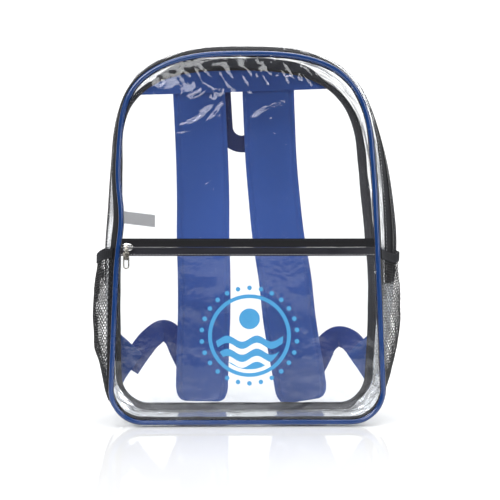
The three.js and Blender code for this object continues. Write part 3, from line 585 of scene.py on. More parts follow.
def pocketPrintMaterial(look):
    # the clear sheet with a plain printed badge: rings, waves and a ring of dots
    material = clearSheetMaterial("printedPocketSheet")
    tree = material.node_tree
    output = next(n for n in tree.nodes if n.type == "OUTPUT_MATERIAL")
    whole = output.inputs[0].links[0].from_socket
    place = placeNode(tree)
    split = shaderNode(tree, "ShaderNodeSeparateXYZ", {0: place})

    def calc(operation, *values):
        return mathNode(tree, operation, *values)

    def distance(a, b):
        return calc("SQRT", calc("ADD", calc("MULTIPLY", a, a), calc("MULTIPLY", b, b)))

    x = calc("SUBTRACT", calc("DIVIDE", split.outputs[0], mm), bagOrigin[0] / mm + look["x"])
    z = calc("SUBTRACT", calc("DIVIDE", split.outputs[2], mm), look["z"])
    far, radius = distance(x, z), look["radius"]
    ring = calc("MULTIPLY", calc("GREATER_THAN", far, radius - look["ringWidth"]),
                calc("LESS_THAN", far, radius))
    # waves across the middle, cut off inside the ring
    wave = calc("MULTIPLY", calc("SINE", calc("MULTIPLY", x, look["waveTurn"])), look["waveRise"])
    level = calc("SUBTRACT", z, wave)
    stripes = calc("GREATER_THAN", calc("PINGPONG", level, look["stripe"]), look["stripe"] * 0.45)
    stripes = calc("MULTIPLY", stripes, calc("LESS_THAN", far, radius - 2 * look["ringWidth"]))
    stripes = calc("MULTIPLY", stripes, calc("LESS_THAN", level, look["waterLevel"]))
    # a plain disc over the waves
    disc = calc("LESS_THAN", distance(x, calc("SUBTRACT", z, look["discUp"])), look["disc"])
    # dots round the outside
    turn = calc("MULTIPLY", calc("ARCTAN2", z, x), look["dots"] / (2 * math.pi))
    side = calc("MULTIPLY", calc("SUBTRACT", calc("FRACT", turn), 0.5),
                2 * math.pi * look["dotRing"] / look["dots"])
    dots = calc("LESS_THAN", distance(side, calc("SUBTRACT", far, look["dotRing"])), look["dotSize"])
    mask = calc("MAXIMUM", calc("MAXIMUM", ring, stripes), calc("MAXIMUM", disc, dots))
    tone = mixColour(tree, noiseNode(tree, place, 260.0, 3.0), look["ink"], look["inkLight"])
    ink = surfaceNode(tree, {"Base Color": tone, "Roughness": 0.35})
    printed = mixShader(tree, calc("MULTIPLY", mask, look["cover"]), whole, ink)
    tree.links.new(printed, output.inputs[0])
    return material


badge = {
    "x": 2.0, "z": 98.0, "radius": 44.0, "ringWidth": 4.0,
    "waveTurn": 0.2, "waveRise": 3.2, "stripe": 7.0, "waterLevel": 3.0,
    "disc": 11.0, "discUp": 18.0,
    "dots": 26, "dotRing": 51.0, "dotSize": 2.4,
    "ink": (0.05, 0.27, 0.53, 1), "inkLight": (0.065, 0.3, 0.56, 1), "cover": 0.95,
}
finishes["printed"] = pocketPrintMaterial(badge)
print("materials made")


# Geometry Nodes for what repeats


def geometryTree(name, inputs):
    tree = bpy.data.node_groups.new(name, "GeometryNodeTree")
    tree.interface.new_socket("Geometry", in_out="INPUT", socket_type="NodeSocketGeometry")
    tree.interface.new_socket("Geometry", in_out="OUTPUT", socket_type="NodeSocketGeometry")
    for socket, kind in inputs:
        tree.interface.new_socket(socket, in_out="INPUT", socket_type=kind)
    return tree, tree.nodes.new("NodeGroupInput"), tree.nodes.new("NodeGroupOutput")


def runTree(name, guide, tree, values, material):
    # the guide goes through the tree and comes back as a plain mesh
    modifier = guide.modifiers.new("tree", "NODES")
    modifier.node_group = tree
    for item in tree.interface.items_tree:
        if item.item_type == "SOCKET" and item.in_out == "INPUT" and item.name in values:
            modifier[item.identifier] = values[item.name]
    bpy.context.view_layer.update()
    mesh = bpy.data.meshes.new_from_object(guide.evaluated_get(bpy.context.evaluated_depsgraph_get()))
    mesh.name = name
    bpy.data.objects.remove(guide)
    mesh.materials.clear()
    mesh.materials.append(material)
    for p in mesh.polygons:
        p.use_smooth = True
    return addObject(name, mesh)


def beadTree():
    # a small rounded bead on every point, turned along the seam and up from its surface
    tree, start, end = geometryTree("beads", [
        ("Length", "NodeSocketFloat"), ("Width", "NodeSocketFloat"), ("Height", "NodeSocketFloat"),
        ("Unevenness", "NodeSocketFloat"), ("Seed", "NodeSocketInt"), ("Finish", "NodeSocketMaterial")])
    link = tree.links.new
    ball = addNode(tree, "GeometryNodeMeshUVSphere")
    ball.inputs["Segments"].default_value = 6
    ball.inputs["Rings"].default_value = 4
    ball.inputs["Radius"].default_value = 0.5
    along = addNode(tree, "GeometryNodeInputNamedAttribute", data_type="FLOAT_VECTOR")
    along.inputs[0].default_value = "along"
    out = addNode(tree, "GeometryNodeInputNamedAttribute", data_type="FLOAT_VECTOR")
    out.inputs[0].default_value = "out"
    first = addNode(tree, "FunctionNodeAlignRotationToVector", axis="X")
    second = addNode(tree, "FunctionNodeAlignRotationToVector", axis="Z", pivot_axis="X")
    link(along.outputs[0], first.inputs["Vector"])
    link(first.outputs[0], second.inputs["Rotation"])
    link(out.outputs[0], second.inputs["Vector"])
    size = addNode(tree, "ShaderNodeCombineXYZ")
    for i, key in enumerate(("Length", "Width", "Height")):
        link(start.outputs[key], size.inputs[i])
    spread = addNode(tree, "FunctionNodeRandomValue", data_type="FLOAT")
    low = addNode(tree, "ShaderNodeMath", operation="SUBTRACT")
    low.inputs[0].default_value = 1.0
    link(start.outputs["Unevenness"], low.inputs[1])
    link(low.outputs[0], spread.inputs[2])
    spread.inputs[3].default_value = 1.0
    link(start.outputs["Seed"], spread.inputs["Seed"])
    scale = addNode(tree, "ShaderNodeVectorMath", operation="SCALE")
    link(size.outputs[0], scale.inputs[0])
    link(spread.outputs[1], scale.inputs["Scale"])
    beads = addNode(tree, "GeometryNodeInstanceOnPoints")
    link(start.outputs[0], beads.inputs["Points"])
    link(ball.outputs[0], beads.inputs["Instance"])
    link(second.outputs[0], beads.inputs["Rotation"])
    link(scale.outputs[0], beads.inputs["Scale"])
    real, finish = addNode(tree, "GeometryNodeRealizeInstances"), addNode(tree, "GeometryNodeSetMaterial")
    link(beads.outputs[0], real.inputs[0])
    link(real.outputs[0], finish.inputs[0])
    link(start.outputs["Finish"], finish.inputs["Material"])
    link(finish.outputs[0], end.inputs[0])
    return tree


def netTree():
    # every edge of the guide becomes a thin yarn
    tree, start, end = geometryTree("net", [
        ("Yarn Radius", "NodeSocketFloat"), ("Sides", "NodeSocketInt"), ("Finish", "NodeSocketMaterial")])
    link = tree.links.new
    curve = tree.nodes.new("GeometryNodeMeshToCurve")
    ring = tree.nodes.new("GeometryNodeCurvePrimitiveCircle")
    yarn = tree.nodes.new("GeometryNodeCurveToMesh")
    yarn.inputs["Fill Caps"].default_value = True
    real, finish = tree.nodes.new("GeometryNodeRealizeInstances"), tree.nodes.new("GeometryNodeSetMaterial")
    link(start.outputs[0], curve.inputs[0])
    link(start.outputs["Sides"], ring.inputs["Resolution"])
    link(start.outputs["Yarn Radius"], ring.inputs["Radius"])
    link(curve.outputs[0], yarn.inputs["Curve"])
    link(ring.outputs[0], yarn.inputs["Profile Curve"])
    link(yarn.outputs[0], real.inputs[0])
    link(real.outputs[0], finish.inputs[0])
    link(start.outputs["Finish"], finish.inputs["Material"])
    link(finish.outputs[0], end.inputs[0])
    return tree


trees = {"beads": beadTree(), "net": netTree()}


def beadsAt(name, points, along, out, size, material, unevenness=0.1):
    # points, directions and size (length, width, height) in millimetres
    mesh = bpy.data.meshes.new(name + "Guide")
    mesh.from_pydata((np.asarray(points) * mm + bagOrigin).tolist(), [], [])
    for key, value in (("along", along), ("out", out)):
        mesh.attributes.new(key, "FLOAT_VECTOR", "POINT").data.foreach_set(
            "vector", np.asarray(value, np.float32).ravel())
    guide = addObject(name + "Guide", mesh)
    values = {"Length": size[0] * mm, "Width": size[1] * mm, "Height": size[2] * mm,
              "Unevenness": unevenness, "Seed": bag["seed"], "Finish": material}
    return runTree(name, guide, trees["beads"], values, material)


def stations(line, pitch, closed=False, start=0.5):
    # points at an even pitch along a line of points, with the way along at each
    line = np.asarray(line, float)
    if closed:
        line = np.vstack([line, line[:1]])
    run = np.concatenate([[0], np.cumsum(np.linalg.norm(np.diff(line, axis=0), axis=1))])
    count = max(2, int(run[-1] / pitch))
    at = (np.arange(count) + start) * run[-1] / count
    points = np.stack([np.interp(at, run, line[:, i]) for i in range(3)], -1)
    ahead = np.stack([np.interp(at + pitch / 4, run, line[:, i]) for i in range(3)], -1)
    behindIt = np.stack([np.interp(at - pitch / 4, run, line[:, i]) for i in range(3)], -1)
    along = ahead - behindIt
    return points, along / np.maximum(np.linalg.norm(along, axis=1, keepdims=True), 1e-9)


seams = []          # every line of stitches: points, along, out, by thread


def sewLine(thread, line, out, pitch=3.2, closed=False):
    points, along = stations(line, pitch, closed)
    line, out = np.asarray(line, float), np.broadcast_to(np.asarray(out, float), np.shape(line))
    near = np.array([np.argmin(((line - p) ** 2).sum(1)) for p in points])
    seams.append((thread, points, along, out[near]))


print("node trees made")

# piping and bindings

piping = {"around": 18, "along": 420, "wobble": 0.18, "sway": 0.25, "overFloor": 0.4}
# tapes round the two rims' seams: each has a part in the rim's plane and a part on the gusset
frontBinding = {
    "thick": 0.7, "lip": 4.6, "lipUnder": 2.6, "lipOver": 0.5, "lipStart": 1.6,
    "width": 7.0, "widerBeside": 7.0, "widerOver": 7.0, "lift": 0.75, "stitchIn": 4.5,
}
backBinding = {
    "thick": 0.7, "narrow": 1.6, "widerLeft": 2.0, "widerRight": 5.2,
    "turned": 4.0, "turnedMore": 18.0, "lift": -1.1, "inFront": 0.6, "stitchIn": 0.7,
}


def makeRims():
    share, side = ringPlaces(piping["along"])
    x, z = rimPoint(frontRim, share)
    nx, nz = rimNormal(frontRim, share)
    turn = np.linspace(0, 2 * math.pi, piping["around"], endpoint=False)
    out = np.stack([side * nx, np.zeros_like(x), nz], -1)
    middle = np.stack([side * x, np.full_like(x, frontY), z], -1) - out * bag["pipingIn"]
    back = np.array([0.0, 1.0, 0.0])
    radius = bag["piping"] + piping["wobble"] * softNoise(middle, 18, 3)
    sway = softNoise(middle, (40, 40, 28), 5) * piping["sway"]
    sections = (middle[:, None] + (np.cos(turn)[None, :, None] * out[:, None]
                + np.sin(turn)[None, :, None] * back) * radius[:, None, None])
    sections = sections + sway[:, None, None] * back
    sections[..., 2] = np.maximum(sections[..., 2], piping["overFloor"])
    made = loft("piping_front", settle(sections), finishes["piping"], ring=True, sharp=180)
    dress(made, "front_piping")

    # a lip behind the front panel's edge, then back along the gusset
    tape, depth = frontBinding, bag["depth"]
    seamShare = (bag["piping"] + bag["seam"]) / depth
    width = (tape["width"] + tape["widerBeside"] * smoothStep(np.abs(nx), 0.8, 1)
             + tape["widerOver"] * smoothStep(nz, 0.93, 0.995))
    across = seamShare + width[:, None] / depth * np.linspace(0, 1, 9)[None, :]
    onGusset = gussetPoint(share[:, None], side[:, None], across, tape["lift"])
    reach = tape["lip"] + tape["lipUnder"] * np.clip(-nz, 0, 1) + tape["lipOver"] * np.clip(nz, 0, 1)
    reach = reach + 0.5 * softNoise(middle, 15, 12)
    inward = np.stack([reach, reach / 2, np.full_like(reach, tape["lipStart"])], -1)
    lip = np.stack([
        side[:, None] * (x[:, None] - nx[:, None] * inward),
        np.full(inward.shape, frontY + bag["piping"] + tape["lift"]) - [0, 0, 0.2],
        z[:, None] - nz[:, None] * inward,
    ], -1)
    grid = np.concatenate([lip, onGusset], 1)
    made = sheet("binding_front", grid, tape["thick"], finishes["tape"], ring=True)
    dress(made, "front_binding")
    line = gussetPoint(share, side, seamShare + tape["stitchIn"] / depth, bag["sheet"] / 2 + 0.1)
    sewLine("thread", settle(line), out, closed=True)

    # turned onto the gusset over the top and under the bottom, and wide at the right side
    tape = backBinding
    x, z = rimPoint(backRim, share)
    nx, nz = rimNormal(backRim, share)
    outer = -bag["solidSheet"] / 2 - bag["seam"]
    uneven = softNoise(np.stack([side * x, 0 * x, z], -1), 26, 9)
    wider = np.where(side > 0, tape["widerRight"], tape["widerLeft"]) * np.abs(nx) ** 1.5
    reach = tape["narrow"] + wider + 0.5 * uneven
    turned = (tape["turned"] + tape["turnedMore"] * smoothStep(nz, 0.88, 0.995)
              + tape["turnedMore"] * smoothStep(-nz, 0.8, 1) + 2 * uneven)
    across = 1 - (-outer + tape["inFront"] + np.linspace(1, 0, 9)[None, :] * turned[:, None]) / depth
    onGusset = gussetPoint(share[:, None], side[:, None], across, tape["lift"])
    inward = outer - 1 - np.linspace(0, 1, 6)[None, 1:] * reach[:, None]
    onBack = np.stack([
        side[:, None] * (x[:, None] + nx[:, None] * inward),
        np.full(inward.shape, backY + outer - tape["inFront"]) + 0.3 * np.sin(inward),
        z[:, None] + nz[:, None] * inward,
    ], -1)
    grid = np.concatenate([onGusset, onBack], 1)
    made = sheet("binding_back", grid, tape["thick"], finishes["greyTape"], ring=True)
    dress(made, "back_binding")
    line = onBack[:, 1] - [0, tape["stitchIn"], 0]
    sewLine("thread", settle(line), (0, -1, 0), closed=True)


makeRims()
print("rims made")

# gusset and its zip

gusset = {"along": 300, "across": 22, "ripple": 0.9, "crinkle": 1.3}
mainZip = {
    "width": 28.0, "wider": 12.0, "endHeight": 150.0, "tape": 0.8, "tapeLift": 0.35,
    "toothPitch": 1.7, "toothRow": 1.35, "tooth": (3.3, 1.15, 1.25),
}
mesh = {"bottom": 28.0, "mouth": 191.0, "sag": 9.0, "elastic": 10.5, "net": 1.0, "elasticThick": 2.0}


def rippled(grid, across, strength, seed):
    # soft plastic: streaks along the gusset and small dents, none at its seams
    normals = gridNormals(grid)
    edge = smoothStep(np.minimum(across - across.min(), across.max() - across), 0, 0.04)
    streaks = softNoise(grid, (9, 9, 34), seed) + 0.6 * softNoise(grid, (5, 6, 16), seed + 1)
    broad = softNoise(grid, 34, seed + 2)
    return grid + normals * ((streaks * 0.8 + broad * 1.1) * strength * edge)[..., None]


def makeGusset():
    depth = bag["depth"]
    frontSeam = (bag["piping"] + bag["seam"]) / depth
    backSeam = 1 - (bag["solidSheet"] / 2 + bag["seam"]) / depth
    half = mainZip["width"] / 2 / depth
    gap = bag["seam"] / depth
    low = float(shareAt(mainZip["endHeight"]))
    share, side = overTop(low, gusset["along"])
    for name, node, start, end, seed in (
            ("strip_front", "gusset_front_strip", frontSeam, 0.5 - half - gap, 4),
            ("strip_rear", "gusset_rear_strip", 0.5 + half + gap, backSeam, 7)):
        across = np.linspace(start, end, gusset["across"] + 1)
        grid = gussetPoint(share[:, None], side[:, None], across[None, :])
        grid = rippled(grid, across[None, :], gusset["ripple"], seed)
        made = sheet(name, grid, bag["sheet"], finishes["clearSide"])
        dress(made, node)

    # on the right the tape is wider toward the front, up to where the top's arch begins
    z = rimPoint(frontRim, share)[1]
    wider = mainZip["wider"] / depth * np.where(side > 0, smoothStep(-z, -370, -330), 0)
    across = mix(0.5 - half - wider[:, None], 0.5 + half, np.linspace(0, 1, 9)[None, :])
    grid = gussetPoint(share[:, None], side[:, None], across, mainZip["tapeLift"])
    tape = sheet("zip_tape_main", grid, mainZip["tape"], finishes["tape"])
    dress(tape, "main_zip_tape")
    out = gridNormals(grid)
    outward = np.sign((out[:, 4] * (grid[:, 4] - [0, 0, 200])).sum(-1).mean())
    for edge in (1, 7):
        line = settle(grid[:, edge] + out[:, edge] * outward * 0.55)
        sewLine("paleThread", line, out[:, edge] * outward, pitch=3.6)

    # the coil: two rows of short bars that meet at the middle
    middle = settle(gussetPoint(share, side, 0.5, bag["solidSheet"] / 2 + bag["seam"] + 0.4))
    points, along = stations(middle, mainZip["toothPitch"])
    near = np.array([np.argmin(((middle - p) ** 2).sum(1)) for p in points])
    up = out[near, 4] * outward
    sideways = np.cross(along, up)
    teeth = []
    for way in (-1, 1):
        teeth.append(points + sideways * way * mainZip["toothRow"] + along * way * mainZip["toothPitch"] / 4)
    everyTooth = np.vstack(teeth)
    made = beadsAt("zip_coil_main", everyTooth, np.vstack([sideways] * 2), np.vstack([up] * 2),
                   mainZip["tooth"], finishes["coil"], unevenness=0.03)
    dress(made, "main_zip_coil")

    # the bottom, in one piece with the lower sides
    share, side = underBottom(float(shareAt(mainZip["endHeight"] - 0.6)), 190)
    across = np.linspace(frontSeam, backSeam, 61)
    grid = gussetPoint(share[:, None], side[:, None], across[None, :])
    flat = 1 - smoothStep(grid[..., 2], 1.5, 14)
    normals = gridNormals(grid)
    edge = smoothStep(np.minimum(across - frontSeam, backSeam - across), 0, 0.05)[None, :]
    crush = softNoise(grid, (16, 22, 16), 21) + 0.7 * softNoise(grid, (7, 9, 7), 22)
    corner = np.exp(-((grid[..., 2] - 14) / 26) ** 2) * smoothStep(np.abs(grid[..., 0]), 70, 130)
    amount = (0.55 + 1.3 * corner) * (1 - 0.9 * flat)
    grid = grid + normals * (crush * amount * edge * gusset["crinkle"])[..., None]
    grid[..., 2] = np.maximum(grid[..., 2], 0.35)
    made = sheet("bottom_sides", grid, bag["sheet"], finishes["clearBase"])
    dress(made, "bottom_gusset")


makeGusset()
print("gusset made")

# front panel and pocket

pocket = {
    "zipTop": 201.5, "zipHeight": 18.6, "depth": 12.0, "wallGap": 3.1,
    "tape": 0.9, "toothPitch": 1.6, "toothRow": 1.2, "tooth": (2.9, 1.1, 1.2),
}
label = {"width": 34.0, "height": 13.0, "overZip": 22.5, "droop": 0.12, "thick": 0.35}
# ripples under the top seam that catch the light in a row
topRipples = {"z": 374, "band": 9, "height": 0.95, "pitch": 20, "slant": (0.9, 0.45)}
frontFolds = [
    {"start": (-82, 309), "end": (-22, 345), "width": 3.6, "height": 1.5, "bend": -9},
    {"start": (-78, 317), "end": (-30, 352), "width": 3.0, "height": 1.1, "bend": -8},
    {"start": (-62, 348), "end": (-40, 362), "width": 3.4, "height": 1.1, "bend": -3},
    {"start": (-70, 322), "end": (-26, 338), "width": 4.0, "height": 0.6, "bend": -5},
    {"start": (2, 322), "end": (44, 344), "width": 3.4, "height": 1.1, "bend": 4},
    {"start": (22, 310), "end": (58, 300), "width": 5.0, "height": 0.8, "bend": 3},
    {"start": (-48, 236), "end": (-38, 262), "width": 3.0, "height": 0.8, "bend": 2},
]

pocketFolds = [
    {"start": (-132, 62), "end": (-84, 17), "width": 2.4, "height": 1.2, "bend": -9},
    {"start": (-128, 46), "end": (-60, 13), "width": 2.0, "height": -1.0, "bend": -8},
    {"start": (-136, 84), "end": (-112, 34), "width": 3.0, "height": 1.0, "bend": -5},
    {"start": (-40, 22), "end": (-6, 30), "width": 2.6, "height": 0.9, "bend": 4},
    {"start": (40, 16), "end": (88, 40), "width": 2.2, "height": 1.1, "bend": -5},
    {"start": (66, 14), "end": (126, 30), "width": 2.2, "height": -0.9, "bend": -7},
    {"start": (112, 22), "end": (134, 60), "width": 2.6, "height": 1.1, "bend": -6},
    {"start": (-112, 74), "end": (-84, 92), "width": 3.0, "height": 0.8, "bend": 3},
    {"start": (104, 66), "end": (122, 72), "width": 2.6, "height": 0.8, "bend": 3},
]


def panelGrid(rim, inset, low, high, rows, columns, surface):
    # rows up a panel, each from one side to the other; high None runs up to the arch's top
    start = bag["flatEnd"] if low is None else float(shareAt(low, inset))
    end = 0.995 if high is None else float(shareAt(high, inset))
    share = evenShares(start, end, rows, rim)
    half, z = rimPoint(rim, share, inset)
    u = np.linspace(-1, 1, columns + 1)
    x = half[:, None] * u[None, :]
    z = np.broadcast_to(z[:, None], x.shape)
    return np.stack([x, surface(x, z), z], -1), u


def edgeFade(rim, grid, inset, width=14.0):
    # 1 inside a panel and 0 along its seams
    x, z = grid[..., 0], grid[..., 2]
    beside = halfWidthAt(rim, z) - inset - np.abs(x)
    above = np.minimum(z - rimBottom - inset, bag["height"] - inset - z)
    return smoothStep(np.minimum(beside, above), 0, width)


def makeFront():
    inset = bag["pipingIn"] + bag["piping"] + bag["seam"]
    zipLow = pocket["zipTop"] - pocket["zipHeight"]
    meet = pocket["zipTop"] - pocket["zipHeight"] / 2

    grid, u = panelGrid(frontRim, inset, pocket["zipTop"] + bag["seam"], None, 120, 110, frontSurface)
    fade = edgeFade(frontRim, grid, inset) * smoothStep(grid[..., 2], pocket["zipTop"], pocket["zipTop"] + 14)
    soft = softNoise(grid, (60, 60, 46), 31) * 1.1 + softNoise(grid, (26, 26, 18), 32) * 0.35
    upper = smoothStep(grid[..., 2], 270, 370)
    folds = foldsAt(grid[..., 0], grid[..., 2], frontFolds)
    beside, above = grid[..., 0], grid[..., 2] - topRipples["z"]
    row = np.exp(-(above / topRipples["band"]) ** 2) * (1 - smoothStep(np.abs(beside - 4), 62, 84))
    run = beside * topRipples["slant"][0] + above * topRipples["slant"][1]
    folds += topRipples["height"] * row * np.sin(run * 2 * math.pi / topRipples["pitch"])
    grid[..., 1] -= fade * (soft + folds + upper * 0.5 * softNoise(grid, (13, 13, 9), 33))
    made = sheet("panel_front", grid, bag["sheet"], finishes["clear"])
    dress(made, "front_panel")

    grid, u = panelGrid(frontRim, inset, None, zipLow - bag["seam"], 110, 110, frontSurface)
    fade = edgeFade(frontRim, grid, inset) * (1 - smoothStep(grid[..., 2], zipLow - 16, zipLow))
    soft = softNoise(grid, (70, 70, 50), 34) * 0.9 + softNoise(grid, (24, 24, 20), 35) * 0.3
    low = np.exp(-((grid[..., 2] - 18) / 14) ** 2)
    crush = low * 0.5 * softNoise(grid, (9, 9, 5), 39)
    grid[..., 1] -= fade * (soft + foldsAt(grid[..., 0], grid[..., 2], pocketFolds) + crush)
    made = sheet("panel_pocket", grid, bag["sheet"], finishes["printed"])
    dress(made, "pocket_panel")

    wallTop = pocket["zipTop"] - bag["solidSheet"]
    wallInset = inset + bag["solidSheet"]

    def wall(x, z):
        rise = np.clip((z - rimBottom) / (wallTop - rimBottom), 0, 1)
        beside = 1 - np.clip(np.abs(x) / halfWidthAt(frontRim, z), 0, 1) ** 2
        return frontSurface(x, z) + pocket["wallGap"] + pocket["depth"] * np.sin(math.pi * rise) * beside

    grid, u = panelGrid(frontRim, wallInset, None, wallTop, 100, 100, wall)
    fade = edgeFade(frontRim, grid, wallInset) * (1 - smoothStep(grid[..., 2], wallTop - 24, wallTop - 8))
    soft = softNoise(grid, (50, 50, 40), 36) * 1.3 + softNoise(grid, (20, 20, 16), 37) * 0.6
    low = np.exp(-((grid[..., 2] - 22) / 18) ** 2)
    grid[..., 1] += fade * (soft + low * 1.2 * softNoise(grid, (10, 10, 8), 38))
    made = sheet("panel_pocket_back", grid, bag["sheet"], finishes["clear"])
    dress(made, "pocket_back_panel")

    # the zip's tapes: the upper is woven and the lower is covered by clear sheet
    for name, node, low, high, finish in (
            ("zip_tape_pocket", "pocket_zip_tape", meet + 0.15, pocket["zipTop"], "tape"),
            ("zip_lip_pocket", "pocket_zip_lip", zipLow, meet - 0.15, "lip")):
        z = np.linspace(low, high, 7)
        half = rimPoint(frontRim, shareAt(z, inset), inset)[0]
        x = half[:, None] * np.linspace(-1, 1, 91)[None, :]
        zz = np.broadcast_to(z[:, None], x.shape)
        y = frontSurface(x, zz) + 0.12 * softNoise(np.stack([x, 0 * x, zz], -1), (18, 1, 5), 41)
        y = y - 0.3 * np.exp(-((zz - meet) / 1.6) ** 2)      # the tapes' folded lips stand proud
        grid = np.stack([x, y, zz], -1)
        made = sheet(name, grid, pocket["tape"], finishes[finish])
        dress(made, node)
        edge = high - 1.6 if finish == "tape" else low + 1.6
        row = np.argmin(np.abs(z - edge))
        line = grid[row].copy()
        line[:, 1] -= 0.5
        sewLine("thread" if finish == "tape" else "paleThread", settle(line), (0, -1, 0), pitch=3.4)

    # its coil, behind the tapes
    half = rimPoint(frontRim, shareAt(meet, inset), inset)[0] - 1
    x = np.linspace(-half, half, 200)
    line = np.stack([x, frontSurface(x, meet) + 1.4, np.full_like(x, meet)], -1)
    points, along = stations(settle(line), pocket["toothPitch"])
    up = np.tile([0.0, 1.0, 0.0], (len(points), 1))
    sideways = np.cross(along, up)
    teeth = np.vstack([points + way * (sideways * pocket["toothRow"] + along * pocket["toothPitch"] / 4)
                       for way in (-1, 1)])
    made = beadsAt("zip_coil_pocket", teeth, np.vstack([sideways] * 2), np.vstack([up] * 2),
                   pocket["tooth"], finishes["coil"], unevenness=0.03)
    dress(made, "pocket_zip_coil")

    # the label
    z0 = pocket["zipTop"] + label["overZip"]
    x0 = -float(halfWidthAt(frontRim, z0)) + bag["pipingIn"] + bag["piping"] + bag["seam"]
    u, v = np.linspace(0, 1, 25), np.linspace(-0.5, 0.5, 11)
    x = np.broadcast_to(x0 + u[None, :] * label["width"], (11, 25))
    z = z0 + v[:, None] * label["height"] - label["droop"] * (x - x0)
    y = frontSurface(x, z) + 1.2 + 1.6 * u[None, :] ** 2 + 0.35 * np.sin(u[None, :] * 5)
    made = sheet("label_side", np.stack([x, y, z], -1), label["thick"], finishes["label"])
    dress(made, "side_label")


makeFront()
print("front made")

# side pockets


net = {
    "cell": 5.2, "rise": 2.9, "yarn": {"left": 0.46, "right": 0.37},
    "across": 122.0, "tall": 150.0, "lumps": 1.3,
}


def pocketSurface(word, t, z, up, thick):
    side = -1.0 if word == "left" else 1.0
    start = (bag["piping"] + 2 * bag["seam"]) / bag["depth"]
    end = 1 - (bag["solidSheet"] / 2 + 2 * bag["seam"]) / bag["depth"]
    middle = 1 - np.abs(2 * t - 1)
    pointed = smoothStep(up, 0.6, 1)
    rounded = 1 - (1 - middle) ** mix(1.9, 1.2, pointed)
    out = bag["depth"] * tableValue(meshFullness, up, word) * rounded
    lift = (bag["solidSheet"] + thick) / 2 + bag["seam"] + out
    return gussetPoint(shareAt(z), np.full(np.shape(t), side), mix(start, end, t), lift)


def mouthAt(t):
    return mesh["mouth"] - mesh["sag"] * (1 - np.abs(2 * t - 1))


def makeSidePockets():
    for word in ("left", "right"):
        seed = 51 if word == "left" else 57

        def place(u, v):
            # u and v from 0 to 1 across and up the mesh
            z = mix(mesh["bottom"], mouthAt(u) - mesh["elastic"] - bag["seam"], v)
            p = pocketSurface(word, u, z, v, mesh["net"])
            soft = softNoise(p, (30, 26, 30), seed) + 0.5 * softNoise(p, (14, 12, 14), seed + 1)
            inner = smoothStep(np.minimum(np.minimum(u, 1 - u), np.minimum(v, 1 - v)), 0, 0.12)
            side = -1.0 if word == "left" else 1.0
            p[..., 0] += side * soft * inner * net["lumps"]
            return settle(p)

        # a lattice of six-sided holes, wider than tall
        across = int(net["across"] / net["cell"])
        rows = int(net["tall"] / net["rise"])
        points, index, edges = [], {}, []

        def corner(i, j, high):
            key = (i, j, high)
            if key not in index:
                index[key] = len(points)
                u = (i + 0.5 * (j % 2)) / across
                v = (j + (0.32 if high else -0.32) * 0.8) / rows
                points.append((min(max(u, 0), 1), min(max(v, 0), 1)))
            return index[key]

        for j in range(rows + 1):
            for i in range(across + (0 if j % 2 else 1)):
                edges.append((corner(i, j, False), corner(i, j, True)))
                if j < rows:
                    shift = j % 2
                    for k in (i + shift - 1, i + shift):
                        if 0 <= k < across + (1 if j % 2 else 0):
                            edges.append((corner(i, j, True), corner(k, j + 1, False)))
        uv = np.array(points)
        where = place(uv[:, 0], uv[:, 1])
        data = bpy.data.meshes.new("netGuide")
        data.from_pydata((where * mm + bagOrigin).tolist(), edges, [])
        guide = addObject("netGuide", data)
        values = {"Yarn Radius": net["yarn"][word] * mm, "Sides": 4, "Finish": finishes["mesh"]}
        made = runTree("mesh_" + word, guide, trees["net"], values, finishes["mesh"])
        dress(made, "mesh_pocket_" + word)

        # the elastic, gathered a little between its seams
        t = np.linspace(0, 1, 61)
        up = np.linspace(-mesh["elastic"], 0, 9)
        z = mouthAt(t)[None, :] + up[:, None]
        tt = np.broadcast_to(t[None, :], z.shape)
        grid = pocketSurface(word, tt, z, np.ones_like(z), mesh["elasticThick"])
        ribs = 0.22 * np.sin(tt * 150) * np.sin((up[:, None] / mesh["elastic"]) * math.pi)
        normals = gridNormals(grid)
        grid = grid + normals * ribs[..., None]
        made = sheet("elastic_" + word, grid, 1.6, finishes["tape"])
        dress(made, "pocket_elastic_" + word)
        side = -1.0 if word == "left" else 1.0
        for row in (1, 7):
            facing = normals[row] * np.sign((normals[row][:, 0] * side).mean())
            sewLine("thread", settle(grid[row] + facing * 0.95), facing, pitch=2.8)


makeSidePockets()
print("side pockets made")

# back panel, yoke, straps and webbing

strapTable = {
    "height": [0.97, 0.875, 0.73, 0.61, 0.5, 0.38, 0.26, 0.18, 0.1, 0.0125],
    "left": [-0.32, -0.32, -0.324, -0.327, -0.331, -0.324, -0.326, -0.335, -0.342, -0.348],
    "right": [0.235, 0.232, 0.228, 0.243, 0.268, 0.315, 0.35, 0.385, 0.425, 0.465],
    "standOff": [0.035, 0.075, 0.115, 0.135, 0.145, 0.15, 0.15, 0.14, 0.135, 0.135],
}
webbingTable = {
    "left": [(-0.45, 0.11, 0.21), (-0.515, 0.155, 0.225), (-0.57, 0.2, 0.235), (-0.645, 0.222, 0.21),
             (-0.74, 0.2, 0.15), (-0.833, 0.155, 0.08), (-0.905, 0.115, 0.03)],
    "right": [(0.55, 0.1, 0.21), (0.61, 0.14, 0.225), (0.66, 0.18, 0.235), (0.735, 0.202, 0.2),
              (0.815, 0.195, 0.13), (0.88, 0.168, 0.06), (0.925, 0.143, 0.03)],
}
strap = {"width": 61.0, "endWidth": 40.0, "taper": 18.0, "thick": 4.0, "solidThick": 4.0}
webbing = {"width": 25.0, "thick": 1.5, "stand": 3.0}
adjuster = {"length": 20.0, "thick": 3.2, "overFoot": 4.0}
haul = {"width": 20.0, "drop": 86.0, "thick": 1.5}
yoke = {"height": 27.0, "rise": 4.0, "thick": 1.2}
tab = {"low": 0.055, "high": 0.228, "tip": 0.158, "tipIn": 0.2, "endIn": 0.014}


